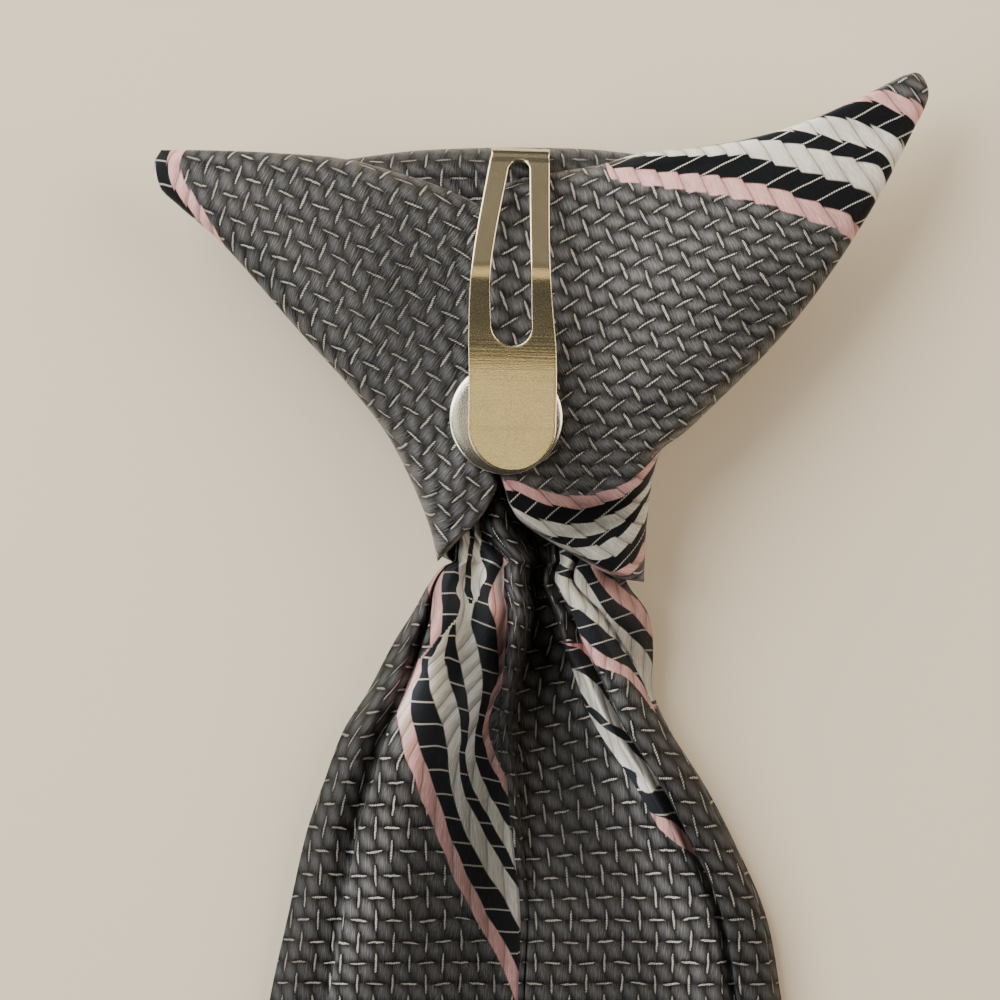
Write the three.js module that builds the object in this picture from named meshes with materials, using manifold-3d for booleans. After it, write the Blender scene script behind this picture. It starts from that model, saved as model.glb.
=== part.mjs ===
// A clip-on necktie that lies face down with its clip upwards: the front of the knot, the two wings that
// go under a collar, the spring clip with its pressure disc, and the folded blade gathered at the neck.
// Millimetres. +Z is up off the surface and +Y points from the blade to the top of the knot.
import * as THREE from "three";
import { mergeVertices } from "three/addons/utils/BufferGeometryUtils.js";
import Module from "manifold-3d";

// Fits
const CLEARANCE = 0.3; // between any two pieces that touch on the real tie
const CLOTH_WALL = 1.8; // cloth with its interlining, where it is a single wall

// Knot
const KNOT_HEIGHT = 54.7; // top edge to the lower lip on the back
const KNOT_TOP_WIDTH = 40; // front of the knot at its top edge
const KNOT_TOP_SHIFT = -5; // the knot leans a little, so its top is off the neck's centre line
const FRONT_DEPTH = 8.3; // surface to the split between front and wings
const NECK_DEPTH = 6.8; // the same at the neck
const NECK_WIDTH = 26.4;
const HOLLOW_CORNER = 2.2; // corner radius of the hollow that holds the blade's end
const FRONT_OVERHANG = 0.9; // how far the front's rolled top edge stands above the wings
const FRONT_SIDE_ROUND = 3.6; // edge radius of the front's sides

// Wings
const WING_REACH = 49.4; // neck's centre line to either tip
const CROWN_HEIGHT = 13; // top of the wings under the clip
const HORN_HEIGHT = 12; // top of the wings near their tips
const HORN_UNDERSIDE = 8;
const TIP_THICKNESS = 3;
const LIP_DROP = 1.2; // how far the crown falls at the knot's mouth
const WING_TOP_ROUND = 2.4; // edge radius along the wings' top
const WING_SIDE_ROUND = 4; // edge radius along the wings' outer sides

// Clip
const CLIP_SHEET = 0.8;
const CLIP_LENGTH = 40.6; // top bend to the rounded end
const CLIP_TOP_WIDTH = 7.4;
const CLIP_WIDTH = 11.2;
const CLIP_RISE = 3.5; // open height between the tongue's crest and the cloth
const CLIP_CREST = 15.2; // top bend to the crest
const CLIP_PAD_LENGTH = 12.2; // flat rounded end that presses on the disc
const CLIP_LEG = 15; // hidden leg inside the knot
const CLIP_BEND = 0.8; // centre line radius of both bends
const CLIP_CENTRE = -2.6; // from the neck's centre line
const CLIP_TILT = THREE.MathUtils.degToRad(-1.7);
const SLOT_TOP_WIDTH = 2.7;
const SLOT_WIDTH = 5.1;
const SLOT_START = 1.3; // top bend to the slot
const SLOT_LENGTH = 23.4;
const DISC_DIAMETER = 14.4;
const DISC_RIM = 0.7;
const DISC_DOME = 0.4;
const DISC_BEVEL = 0.5;
const DISC_CENTRE = [-4.45, -33.8];

// Blade
const TIE_LENGTH = 490; // knot's top edge to the blade's point
const BLADE_WIDTH = 84; // where the point begins
const BLADE_DEPTH = 4.4; // folded cloth lying flat
const GATHER_LENGTH = 95; // neck to where the blade lies plain
const GATHER_WIDTH = 75; // blade at the end of the gather
const BLADE_SHIFT = -1.9; // the blade hangs a little off the neck's centre line
const TUCK = 11; // blade end hidden inside the knot
const POINT_WIDTH = 2; // blunt end of the point

const NECK_HALF = NECK_WIDTH / 2;
const { lerp, smoothstep } = THREE.MathUtils;

// Outlines of the wings. Each row is [reach, down]: reach is the share of the way from the neck's side (0)
// to the wing's tip (1), and down is the share of the knot's height below its top edge.
const LEFT_WING = {
  side: -1,
  top: [
    [-0.18, 0.128],
    [-0.06, 0.09],
    [0.13, 0.046],
    [0.34, 0.011],
    [0.55, 0],
    [0.83, -0.007],
    [0.972, -0.007],
  ],
  outer: [
    [0.972, -0.007],
    [1, 0.03],
    [0.978, 0.079],
    [0.901, 0.128],
    [0.762, 0.208],
    [0.481, 0.419],
    [0.307, 0.545],
    [0.182, 0.651],
    [0.094, 0.762],
    [0.025, 0.878],
    [0, 0.952],
  ],
  bottom: [
    [-0.224, 0.775],
    [-0.16, 0.845],
    [-0.085, 0.897],
    [0, 0.952],
  ],
  inner: [
    [-0.18, 0.128],
    [-0.158, 0.35],
    [-0.155, 0.62],
    [-0.224, 0.775],
  ],
};
const RIGHT_WING = {
  side: 1,
  top: [
    [-0.541, 0.076],
    [-0.326, 0.045],
    [-0.157, 0.026],
    [-0.017, 0],
    [0.193, -0.015],
    [0.367, -0.035],
    [0.544, -0.069],
    [0.718, -0.117],
    [0.912, -0.181],
  ],
  outer: [
    [0.912, -0.181],
    [0.965, -0.186],
    [1, -0.14],
    [0.936, -0.04],
    [0.79, 0.141],
    [0.597, 0.333],
    [0.439, 0.459],
    [0.262, 0.576],
    [0.141, 0.651],
    [0.062, 0.692],
    [0.034, 0.745],
    [0.02, 0.808],
    [0.008, 0.878],
    [0, 1],
  ],
  bottom: [
    [-0.486, 0.811],
    [-0.442, 0.854],
    [-0.341, 0.902],
    [-0.225, 0.947],
    [-0.107, 0.988],
    [0, 1],
  ],
  inner: [
    [-0.541, 0.076],
    [-0.566, 0.35],
    [-0.566, 0.62],
    [-0.486, 0.811],
  ],
};

// Outline of the blade down its gather. down is the share of the gather's length below the neck, left and
// right are how far each side has spread from the neck's width (0) to the gathered width (1), and bulk is
// how far the folds have settled from the depth inside the neck (1) to the plain blade's depth (0).
const GATHER = [
  { down: -0.1, left: 0, right: 0, bulk: 1 },
  { down: 0, left: 0, right: 0, bulk: 1 },
  { down: 0.03, left: 0.12, right: 0, bulk: 1 },
  { down: 0.07, left: 0.2, right: 0.1, bulk: 1.1 },
  { down: 0.11, left: 0.29, right: 0.128, bulk: 1.2 },
  { down: 0.18, left: 0.42, right: 0.14, bulk: 1.15 },
  { down: 0.23, left: 0.53, right: 0.22, bulk: 1 },
  { down: 0.3, left: 0.62, right: 0.386, bulk: 0.8 },
  { down: 0.37, left: 0.7, right: 0.527, bulk: 0.6 },
  { down: 0.48, left: 0.777, right: 0.712, bulk: 0.35 },
  { down: 0.59, left: 0.852, right: 0.8, bulk: 0.15 },
  { down: 0.78, left: 0.95, right: 0.936, bulk: 0.03 },
  { down: 1, left: 1, right: 1, bulk: 0 },
];

// The fold lines of the blade's back from its left edge to its right edge. across is the place as a share
// of the half width, and height the share of the blade's depth there, at each of the stations below.
const FOLD_STATIONS = [-0.04, 0.02, 0.1, 0.18, 0.36, 0.58, 1]; // shares of the gather's length below the neck
const FOLDS = [
  { name: "left_edge", across: [-1, -1, -1, -1, -1, -1, -1], height: [0.45, 0.45, 0.4, 0.35, 0.35, 0.3, 0.3] },
  { name: "left_roll", across: [-0.98, -0.97, -0.88, -0.86, -0.88, -0.9, -0.92], height: [0.8, 0.8, 0.8, 0.78, 0.8, 0.82, 0.8] },
  { name: "left_roll_foot", across: [-0.965, -0.945, -0.8, -0.745, -0.77, -0.78, -0.79], height: [0.62, 0.62, 0.55, 0.5, 0.6, 0.7, 0.78] },
  { name: "left_flap_edge", across: [-0.955, -0.93, -0.772, -0.712, -0.748, -0.761, -0.77], height: [0.85, 0.85, 0.85, 0.84, 0.92, 0.95, 0.9] },
  { name: "left_flap_crest", across: [-0.92, -0.8, -0.66, -0.63, -0.67, -0.66, -0.6], height: [0.95, 0.98, 1, 1, 1, 1, 0.95] },
  { name: "left_flap_dip", across: [-0.86, -0.6, -0.45, -0.4, -0.42, -0.38, -0.4], height: [0.75, 0.8, 0.8, 0.82, 0.86, 0.9, 0.9] },
  { name: "left_flap_rise", across: [-0.8, -0.45, -0.28, -0.2, -0.2, -0.2, -0.2], height: [0.8, 0.88, 0.9, 0.9, 0.86, 0.86, 0.88] },
  { name: "roll_left", across: [-0.72, -0.276, -0.15, -0.06, -0.03, -0.03, -0.04], height: [0.6, 0.6, 0.64, 0.8, 0.8, 0.82, 0.84] },
  { name: "roll_crest", across: [-0.5, -0.15, -0.07, 0, 0, -0.005, -0.01], height: [1, 1, 1.04, 0.95, 0.8, 0.76, 0.8] },
  { name: "seam_foot", across: [-0.2, 0, 0.03, 0.035, 0.022, 0.012, 0.005], height: [0.4, 0.4, 0.3, 0.3, 0.42, 0.7, 0.78] },
  { name: "seam_edge", across: [-0.17, 0.02, 0.055, 0.055, 0.035, 0.02, 0.01], height: [0.15, 0.12, 0.12, 0.15, 0.44, 0.92, 1] },
  { name: "valley", across: [-0.03, 0.08, 0.15, 0.2, 0.24, 0.3, 0.3], height: [0.06, 0.05, 0.06, 0.1, 0.48, 0.88, 0.96] },
  { name: "inner_pleat_foot", across: [0.1, 0.135, 0.27, 0.49, 0.67, 0.72, 0.65], height: [0.12, 0.12, 0.15, 0.28, 0.68, 0.84, 0.9] },
  { name: "inner_pleat_crest", across: [0.13, 0.165, 0.31, 0.58, 0.735, 0.775, 0.75], height: [0.72, 0.72, 0.76, 0.75, 0.84, 0.76, 0.84] },
  { name: "middle_pleat_foot", across: [0.17, 0.25, 0.42, 0.675, 0.79, 0.82, 0.84], height: [0.62, 0.6, 0.5, 0.42, 0.46, 0.5, 0.7] },
  { name: "middle_pleat_edge", across: [0.2, 0.27, 0.445, 0.693, 0.8, 0.829, 0.85], height: [0.88, 0.88, 0.9, 0.95, 0.96, 0.84, 0.84] },
  { name: "middle_pleat_crest", across: [0.35, 0.38, 0.58, 0.83, 0.88, 0.9, 0.91], height: [1, 1, 1, 0.98, 0.92, 0.86, 0.84] },
  { name: "outer_pleat_foot", across: [0.45, 0.455, 0.72, 0.955, 0.965, 0.965, 0.95], height: [0.78, 0.78, 0.76, 0.7, 0.7, 0.7, 0.7] },
  { name: "outer_pleat_edge", across: [0.47, 0.47, 0.735, 0.968, 0.975, 0.975, 0.965], height: [0.9, 0.94, 0.85, 0.62, 0.55, 0.55, 0.6] },
  { name: "outer_pleat_crest", across: [0.75, 0.75, 0.88, 0.985, 0.988, 0.988, 0.98], height: [0.86, 0.86, 0.7, 0.5, 0.45, 0.42, 0.45] },
  { name: "right_edge", across: [1, 1, 1, 1, 1, 1, 1], height: [0.4, 0.4, 0.4, 0.35, 0.35, 0.3, 0.3] },
];

// Mesh steps
const PATCH_STEPS = 18;
const ARC_STEPS = 5;
const END_STEPS = 10;
const SAMPLES_PER_FOLD = 2;
const GATHER_ROWS = 25;
const PLAIN_ROWS = 9;
const DISC_SIDES = 32;
const BLADE_NECK = -KNOT_HEIGHT * 0.95; // where the gather starts, just inside the knot's mouth

const wasm = await Module();
wasm.setup();

// A value that follows a table of rows smoothly: places are the rows' positions, in rising order.
function follow(places, values, at) {
  const last = places.length - 1;
  if (at <= places[0]) return values[0];
  if (at >= places[last]) return values[last];
  const i = places.findIndex((p) => p > at) - 1;
  const slope = (k) => {
    const from = Math.max(k - 1, 0);
    const to = Math.min(k + 1, last);
    return (values[to] - values[from]) / (places[to] - places[from]);
  };
  const span = places[i + 1] - places[i];
  const t = (at - places[i]) / span;
  const rise = values[i + 1] - values[i];
  const bend = t * (1 - t);
  const straight = values[i] + rise * t;
  return straight + bend * ((1 - t) * (slope(i) * span - rise) - t * (slope(i + 1) * span - rise));
}

function curveThrough(points) {
  const curve = new THREE.CatmullRomCurve3(
    points.map(([x, y]) => new THREE.Vector3(x, y, 0)),
    false,
    "centripetal",
  );
  return (t) => curve.getPointAt(t);
}

// A surface between four boundary curves that share their corners.
function patchBetween({ top, bottom, inner, outer }) {
  const corner = [top(0), top(1), bottom(0), bottom(1)];
  return (a, b) => {
    const point = top(a).multiplyScalar(1 - b).addScaledVector(bottom(a), b);
    point.addScaledVector(inner(b), 1 - a).addScaledVector(outer(b), a);
    point.addScaledVector(corner[0], -(1 - a) * (1 - b)).addScaledVector(corner[1], -a * (1 - b));
    return point.addScaledVector(corner[2], -(1 - a) * b).addScaledVector(corner[3], -a * b);
  };
}

function turnedOut(geometry) {
  const { array } = geometry.attributes.position;
  const index = geometry.index.array;
  const [a, b, c] = [new THREE.Vector3(), new THREE.Vector3(), new THREE.Vector3()];
  let volume = 0;
  for (let i = 0; i < index.length; i += 3) {
    a.fromArray(array, 3 * index[i]);
    b.fromArray(array, 3 * index[i + 1]);
    c.fromArray(array, 3 * index[i + 2]);
    volume += a.dot(b.cross(c));
  }
  if (volume < 0) index.reverse();
  return geometry;
}

// A closed solid between an upper and a lower grid of points. Where the two grids meet at a border, the
// border is a shared edge, and elsewhere it gets a wall.
function solidBetween(columns, rows, upper, lower) {
  const positions = [];
  for (const layer of [upper, lower]) {
    for (let j = 0; j <= rows; j++) {
      for (let i = 0; i <= columns; i++) positions.push(...layer(i, j));
    }
  }
  const floor = (columns + 1) * (rows + 1);
  const at = (i, j) => j * (columns + 1) + i;
  const faces = [];
  const quad = (a, b, c, d) => faces.push(a, b, c, a, c, d);
  for (let j = 0; j < rows; j++) {
    for (let i = 0; i < columns; i++) {
      const [a, b, c, d] = [at(i, j), at(i + 1, j), at(i + 1, j + 1), at(i, j + 1)];
      quad(a, b, c, d);
      quad(d + floor, c + floor, b + floor, a + floor);
    }
    quad(at(0, j + 1), at(0, j + 1) + floor, at(0, j) + floor, at(0, j));
    quad(at(columns, j), at(columns, j) + floor, at(columns, j + 1) + floor, at(columns, j + 1));
  }
  for (let i = 0; i < columns; i++) {
    quad(at(i, 0), at(i, 0) + floor, at(i + 1, 0) + floor, at(i + 1, 0));
    quad(at(i + 1, rows), at(i + 1, rows) + floor, at(i, rows) + floor, at(i, rows));
  }
  return closed(positions, faces);
}

// Merges shared points, drops the faces that have no area left and turns the rest outwards.
function closed(positions, faces) {
  const loose = new THREE.BufferGeometry();
  loose.setAttribute("position", new THREE.Float32BufferAttribute(positions, 3));
  loose.setIndex(faces);
  const geometry = mergeVertices(loose, 1e-4);
  const index = geometry.index.array;
  const kept = [];
  for (let i = 0; i < index.length; i += 3) {
    const [a, b, c] = index.slice(i, i + 3);
    if (a !== b && b !== c && c !== a) kept.push(a, b, c);
  }
  geometry.setIndex(kept);
  return turnedOut(geometry);
}

function manifoldOf(geometry) {
  const bare = geometry.index ? geometry.clone() : geometry;
  for (const name of ["normal", "uv"]) bare.deleteAttribute(name);
  const { attributes, index } = mergeVertices(bare, 1e-4);
  return new wasm.Manifold(
    new wasm.Mesh({
      numProp: 3,
      vertProperties: new Float32Array(attributes.position.array),
      triVerts: new Uint32Array(index.array),
    }),
  );
}

function cut(geometry, tool) {
  const mesh = manifoldOf(geometry).subtract(manifoldOf(tool)).getMesh();
  const result = new THREE.BufferGeometry();
  result.setAttribute("position", new THREE.Float32BufferAttribute(mesh.vertProperties, 3));
  return result.setIndex(new THREE.Uint32BufferAttribute(mesh.triVerts, 1));
}

// Share of the full height at a distance from a rounded border.
function rounding(distance, radius) {
  const inward = Math.min(distance / radius, 1);
  return Math.sqrt(1 - (1 - inward) ** 2);
}

// A padded piece over a patch. radii rounds each border, and heights gives the rim and both faces.
function padded(outline, radii, heights) {
  const curves = Object.fromEntries(Object.entries(outline).map(([k, v]) => [k, curveThrough(v)]));
  const surface = patchBetween(curves);
  const even = (i) => (1 - Math.cos((Math.PI * i) / PATCH_STEPS)) / 2;
  const face = (side) => (i, j) => {
    const [a, b] = [even(i), even(j)];
    const point = surface(a, b);
    const near = { top: surface(a, 0), bottom: surface(a, 1), inner: surface(0, b), outer: surface(1, b) };
    let share = 1;
    for (const [name, border] of Object.entries(near)) {
      share *= rounding(point.distanceTo(border), radii[name]);
    }
    const { rim, upper, lower } = heights(point.x, point.y);
    return [point.x, point.y, lerp(rim, side > 0 ? upper : lower, share)];
  };
  return solidBetween(PATCH_STEPS, PATCH_STEPS, face(1), face(-1));
}

// Height of the split between the knot's front and the wings.
function splitHeight(y) {
  return lerp(FRONT_DEPTH, NECK_DEPTH, smoothstep(-y, KNOT_HEIGHT * 0.5, KNOT_HEIGHT * 0.95));
}

function crownHeight(x, y) {
  const level = lerp(CROWN_HEIGHT, HORN_HEIGHT, smoothstep(Math.abs(x), NECK_HALF, WING_REACH * 0.7));
  return level - LIP_DROP * smoothstep(-y, KNOT_HEIGHT * 0.74, KNOT_HEIGHT * 0.9);
}

// The hollow of the knot that holds the blade's gathered end, open at the knot's mouth.
function hollowTool() {
  const half = NECK_HALF - CLOTH_WALL;
  const roof = crownHeight(0, -KNOT_HEIGHT) - CLOTH_WALL;
  const r = HOLLOW_CORNER;
  const shape = new THREE.Shape();
  shape.absarc(half - r, CLOTH_WALL + r, r, -Math.PI / 2, 0, false);
  shape.absarc(half - r, roof - r, r, 0, Math.PI / 2, false);
  shape.absarc(r - half, roof - r, r, Math.PI / 2, Math.PI, false);
  shape.absarc(r - half, CLOTH_WALL + r, r, Math.PI, 1.5 * Math.PI, false);
  const depth = KNOT_HEIGHT;
  const tool = new THREE.ExtrudeGeometry(shape, { depth, bevelEnabled: false, curveSegments: 6 });
  return tool.rotateX(Math.PI / 2).translate(0, BLADE_NECK + TUCK + CLEARANCE, 0);
}

function wingOutline({ side, ...table }) {
  const place = ([reach, down]) => [
    side * lerp(NECK_HALF, WING_REACH, reach),
    -down * KNOT_HEIGHT,
  ];
  return Object.fromEntries(Object.entries(table).map(([k, rows]) => [k, rows.map(place)]));
}

function wing(table) {
  const outline = wingOutline(table);
  const gap = (CLEARANCE / 2) * table.side;
  outline.inner = outline.inner.map(([x, y]) => [x + gap, y]);
  outline.top[0] = outline.inner[0];
  outline.bottom[0] = outline.inner.at(-1);
  const [bottom, inner] = [CLOTH_WALL / 2, CLOTH_WALL / 2];
  const radii = { top: WING_TOP_ROUND, bottom, inner, outer: WING_SIDE_ROUND };
  const body = padded(outline, radii, (x, y) => {
    const upper = crownHeight(x, y);
    const overFront = splitHeight(y) + CLEARANCE;
    const horn = smoothstep(Math.abs(x), KNOT_TOP_WIDTH / 2 - KNOT_TOP_SHIFT, WING_REACH * 0.75);
    const lower = lerp(overFront, HORN_UNDERSIDE, horn);
    const tip = smoothstep(Math.abs(x), WING_REACH * 0.6, WING_REACH);
    const middle = (HORN_HEIGHT + HORN_UNDERSIDE) / 2;
    return {
      rim: lerp(lower + CLEARANCE, middle, Math.max(horn, 0)),
      upper: lerp(upper, middle + TIP_THICKNESS / 2, tip),
      lower: lerp(lower, middle - TIP_THICKNESS / 2, tip),
    };
  });
  return cut(body, hollowTool());
}

// The clip's centre line from the end of its hidden leg, over the top of the knot, to its rounded end, as
// [y, z, width] rows. The leg lies in the knot's pocket and the tongue rises off the wings to its crest.
function clipPath() {
  const padHeight = CROWN_HEIGHT + CLEARANCE + DISC_RIM + DISC_DOME + CLEARANCE + CLIP_SHEET / 2;
  const legHeight = FRONT_DEPTH - CLEARANCE - CLIP_SHEET / 2 - CLEARANCE;
  const topHeight = CROWN_HEIGHT + CLEARANCE + CLIP_SHEET / 2;
  const crestHeight = CROWN_HEIGHT + CLIP_RISE + CLIP_SHEET / 2;
  const rows = [[-CLIP_LEG, legHeight, CLIP_TOP_WIDTH]];
  const bend = (z, from, towards) => {
    for (let k = 0; k <= ARC_STEPS; k++) {
      const angle = from + (towards * k * Math.PI) / 2 / ARC_STEPS;
      rows.push([
        -CLIP_BEND + CLIP_BEND * Math.cos(angle),
        z + CLIP_BEND * Math.sin(angle),
        CLIP_TOP_WIDTH,
      ]);
    }
  };
  bend(legHeight + CLIP_BEND, -Math.PI / 2, 1);
  bend(topHeight - CLIP_BEND, 0, 1);
  const widthAt = (y) => follow([0, CLIP_CREST, CLIP_LENGTH * 0.6], [CLIP_TOP_WIDTH, CLIP_WIDTH * 0.9, CLIP_WIDTH], -y);
  const padStart = CLIP_LENGTH - CLIP_PAD_LENGTH;
  const crestRows = [
    [CLIP_CREST * 0.45, 0.47],
    [CLIP_CREST * 0.9, 0.96],
    [CLIP_CREST, 1],
    [CLIP_CREST * 1.08, 0.98],
  ];
  for (const [down, share] of crestRows) rows.push([-down, lerp(topHeight, crestHeight, share), widthAt(-down)]);
  for (const share of [0.25, 0.5, 0.75, 1]) {
    const down = lerp(CLIP_CREST * 1.08, padStart, share);
    rows.push([-down, lerp(crestHeight, padHeight, smoothstep(share, -0.2, 1)), widthAt(-down)]);
  }
  const radius = CLIP_WIDTH / 2;
  const roundStart = CLIP_LENGTH - radius;
  for (let k = 0; k <= END_STEPS; k++) {
    const angle = (k * Math.PI) / 2 / END_STEPS;
    rows.push([-roundStart - radius * Math.sin(angle), padHeight, CLIP_WIDTH * Math.cos(angle)]);
  }
  return rows;
}

function clipStrip() {
  const rows = clipPath();
  const half = CLIP_SHEET / 2;
  const normal = (j) => {
    const [before, after] = [rows[Math.max(j - 1, 0)], rows[Math.min(j + 1, rows.length - 1)]];
    const along = new THREE.Vector2(after[0] - before[0], after[1] - before[1]).normalize();
    return [along.y, -along.x];
  };
  const face = (side) => (i, j) => {
    const [y, z, width] = rows[j];
    const [ny, nz] = normal(j);
    return [(i - 0.5) * width, y + side * half * ny, z + side * half * nz];
  };
  return solidBetween(1, rows.length - 1, face(1), face(-1));
}

// The tongue's tapered slot, cut straight down through the sheet.
function slotTool() {
  const [r0, r1] = [SLOT_TOP_WIDTH / 2, SLOT_WIDTH / 2];
  const shape = new THREE.Shape();
  shape.absarc(0, -SLOT_START - r0, r0, 0, Math.PI, false);
  shape.lineTo(-r1, -CLIP_CREST);
  shape.absarc(0, -SLOT_START - SLOT_LENGTH + r1, r1, Math.PI, 2 * Math.PI, false);
  shape.lineTo(r1, -CLIP_CREST);
  const depth = CROWN_HEIGHT;
  const tool = new THREE.ExtrudeGeometry(shape, { depth, bevelEnabled: false, curveSegments: 10 });
  return tool.translate(0, 0, FRONT_DEPTH + CLEARANCE);
}

function placedAsClip(geometry) {
  return geometry.rotateZ(CLIP_TILT).translate(CLIP_CENTRE, 0, 0);
}

// The pocket in the knot's front that takes the clip's hidden leg.
function pocketTool() {
  const depth = CLIP_SHEET + 2 * CLEARANCE;
  const length = CLIP_LEG + CLEARANCE + FRONT_OVERHANG * 3;
  const height = depth + CLEARANCE + FRONT_DEPTH * 0.2;
  const tool = new THREE.BoxGeometry(CLIP_TOP_WIDTH + 2 * CLEARANCE, length, height);
  const floor = FRONT_DEPTH - CLEARANCE - depth;
  return placedAsClip(tool.translate(0, length / 2 - CLIP_LEG - CLEARANCE, floor + height / 2));
}

function knotFront() {
  const half = KNOT_TOP_WIDTH / 2;
  const top = KNOT_TOP_SHIFT;
  const neck = NECK_HALF - CLEARANCE;
  const low = -KNOT_HEIGHT * 0.94;
  const outline = {
    top: [
      [top - half, -FRONT_OVERHANG / 2],
      [top - half / 2, FRONT_OVERHANG * 0.8],
      [top + half / 2, FRONT_OVERHANG],
      [top + half, -FRONT_OVERHANG / 8],
    ],
    bottom: [
      [-neck, low],
      [0, -KNOT_HEIGHT * 1.04],
      [neck, low - CLEARANCE],
    ],
    inner: [
      [top - half, -FRONT_OVERHANG / 2],
      [lerp(top - half, -neck, 0.55), low * 0.5],
      [-neck, low],
    ],
    outer: [
      [top + half, -FRONT_OVERHANG / 8],
      [lerp(top + half, neck, 0.45), low * 0.5],
      [neck, low - CLEARANCE],
    ],
  };
  const [inner, outer] = [FRONT_SIDE_ROUND, FRONT_SIDE_ROUND];
  const radii = { top: FRONT_DEPTH * 0.45, bottom: CLOTH_WALL / 2, inner, outer };
  const front = padded(outline, radii, (x, y) => {
    const upper = splitHeight(y);
    return { rim: upper * 0.55, upper, lower: 0 };
  });
  return cut(cut(front, pocketTool()), hollowTool());
}

// The blade's outline at a place down its length: its sides, its underside and its depth.
function bladeSection(y) {
  const down = (BLADE_NECK - y) / GATHER_LENGTH;
  const places = GATHER.map((row) => row.down);
  const spread = (name) => follow(places, GATHER.map((row) => row[name]), down);
  const neckHalf = NECK_HALF - CLOTH_WALL - CLEARANCE;
  const plainEnd = BLADE_WIDTH / 2;
  const pointStart = TIE_LENGTH - plainEnd;
  const gatherEnd = GATHER_LENGTH - BLADE_NECK;
  const flare = Math.max((-y - gatherEnd) / (pointStart - gatherEnd), 0);
  const widened = lerp(GATHER_WIDTH / 2, plainEnd, Math.min(flare, 1));
  const point = Math.max(-y - pointStart, 0) / plainEnd;
  const centre = BLADE_SHIFT * smoothstep(down, 0, 1);
  const half = (side) => {
    const open = lerp(neckHalf, widened, spread(side));
    return Math.max(open * (1 - point), POINT_WIDTH / 2);
  };
  const rest = (CLOTH_WALL + CLEARANCE) * (1 - smoothstep(down, 0.06, 0.16));
  const roof = crownHeight(0, -KNOT_HEIGHT) - CLOTH_WALL - CLEARANCE;
  const depth = lerp(BLADE_DEPTH, roof - CLOTH_WALL - CLEARANCE, spread("bulk"));
  return { left: centre - half("left"), right: centre + half("right"), rest, depth, down };
}

function bladeSolid() {
  const ys = [];
  const gatherTop = BLADE_NECK + TUCK;
  const gatherEnd = BLADE_NECK - GATHER_LENGTH;
  ys.push(gatherTop, lerp(gatherTop, BLADE_NECK, 0.5));
  for (let k = 0; k <= GATHER_ROWS; k++) ys.push(lerp(BLADE_NECK, gatherEnd, (k / GATHER_ROWS) ** 1.35));
  const pointStart = -(TIE_LENGTH - BLADE_WIDTH / 2);
  for (let k = 1; k <= PLAIN_ROWS; k++) ys.push(lerp(gatherEnd, pointStart, k / PLAIN_ROWS));
  ys.push(lerp(pointStart, -TIE_LENGTH, 0.5), -TIE_LENGTH + POINT_WIDTH / 2);
  const columns = (FOLDS.length - 1) * SAMPLES_PER_FOLD;
  const marks = FOLDS.map((_, k) => k);
  const upper = (i, j) => {
    const { left, right, rest, depth, down } = bladeSection(ys[j]);
    const at = i / SAMPLES_PER_FOLD;
    const across = FOLDS.map((fold) => follow(FOLD_STATIONS, fold.across, down));
    const height = FOLDS.map((fold) => follow(FOLD_STATIONS, fold.height, down));
    const x = lerp(left, right, (follow(marks, across, at) + 1) / 2);
    return [x, ys[j], rest + depth * follow(marks, height, at)];
  };
  const lower = (i, j) => {
    const { left, right, rest } = bladeSection(ys[j]);
    const rim = upper(i < columns / 2 ? 0 : columns, j)[2];
    const share = (1 - Math.cos((Math.PI * i) / columns)) / 2;
    const inset = Math.min(share, 1 - share) * (right - left);
    return [lerp(left, right, share), ys[j], lerp(rim, rest, rounding(inset, rim - rest))];
  };
  return solidBetween(columns, ys.length - 1, upper, lower);
}

function discSolid() {
  const radius = DISC_DIAMETER / 2;
  const foot = CROWN_HEIGHT + CLEARANCE;
  const profile = [
    [0, foot],
    [radius - DISC_BEVEL, foot],
    [radius, foot + DISC_RIM / 2],
    [radius - DISC_BEVEL, foot + DISC_RIM],
    [radius * 0.6, foot + DISC_RIM + DISC_DOME * 0.7],
    [0, foot + DISC_RIM + DISC_DOME],
  ];
  const lathe = new THREE.LatheGeometry(profile.map(([r, z]) => new THREE.Vector2(r, z)), DISC_SIDES);
  return lathe.rotateX(Math.PI / 2).translate(...DISC_CENTRE, 0);
}

function material(colour, roughness, metalness) {
  return new THREE.MeshStandardMaterial({ color: colour, roughness, metalness });
}
const charcoalCloth = material(0x4b4746, 0.6, 0);
const clipMetal = material(0xb8a880, 0.3, 1);
const discMetal = material(0xc9c4ae, 0.22, 1);

function piece(name, geometry, finish) {
  const mesh = new THREE.Mesh(geometry, finish);
  mesh.name = name;
  return mesh;
}

const pieces = [
  piece("knot_front", knotFront(), charcoalCloth),
  piece("left_wing", wing(LEFT_WING), charcoalCloth),
  piece("right_wing", wing(RIGHT_WING), charcoalCloth),
  piece("blade", bladeSolid(), charcoalCloth),
  piece("clip", placedAsClip(cut(clipStrip(), slotTool())), clipMetal),
  piece("clip_disc", discSolid(), discMetal),
];

// The origin goes to the middle of the whole tie's footprint on the surface it lies on.
const tie = new THREE.Group();
tie.add(...pieces);
const middle = new THREE.Box3().setFromObject(tie).getCenter(new THREE.Vector3());
for (const { geometry } of pieces) geometry.translate(-middle.x, -middle.y, 0);

export default tie;
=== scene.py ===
# Dresses the clip-on tie: dense cloth pieces with a woven, striped material, and the spring clip in metal.
# Lengths in the tables are millimetres in the tie's own plan unless a comment says otherwise, with x from
# the neck's centre line and y from the knot's top edge, and SHIFT takes them to the row frame.
from math import cos, pi, radians, sin

import bmesh
import bpy
import numpy as np
from mathutils import Matrix


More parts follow.
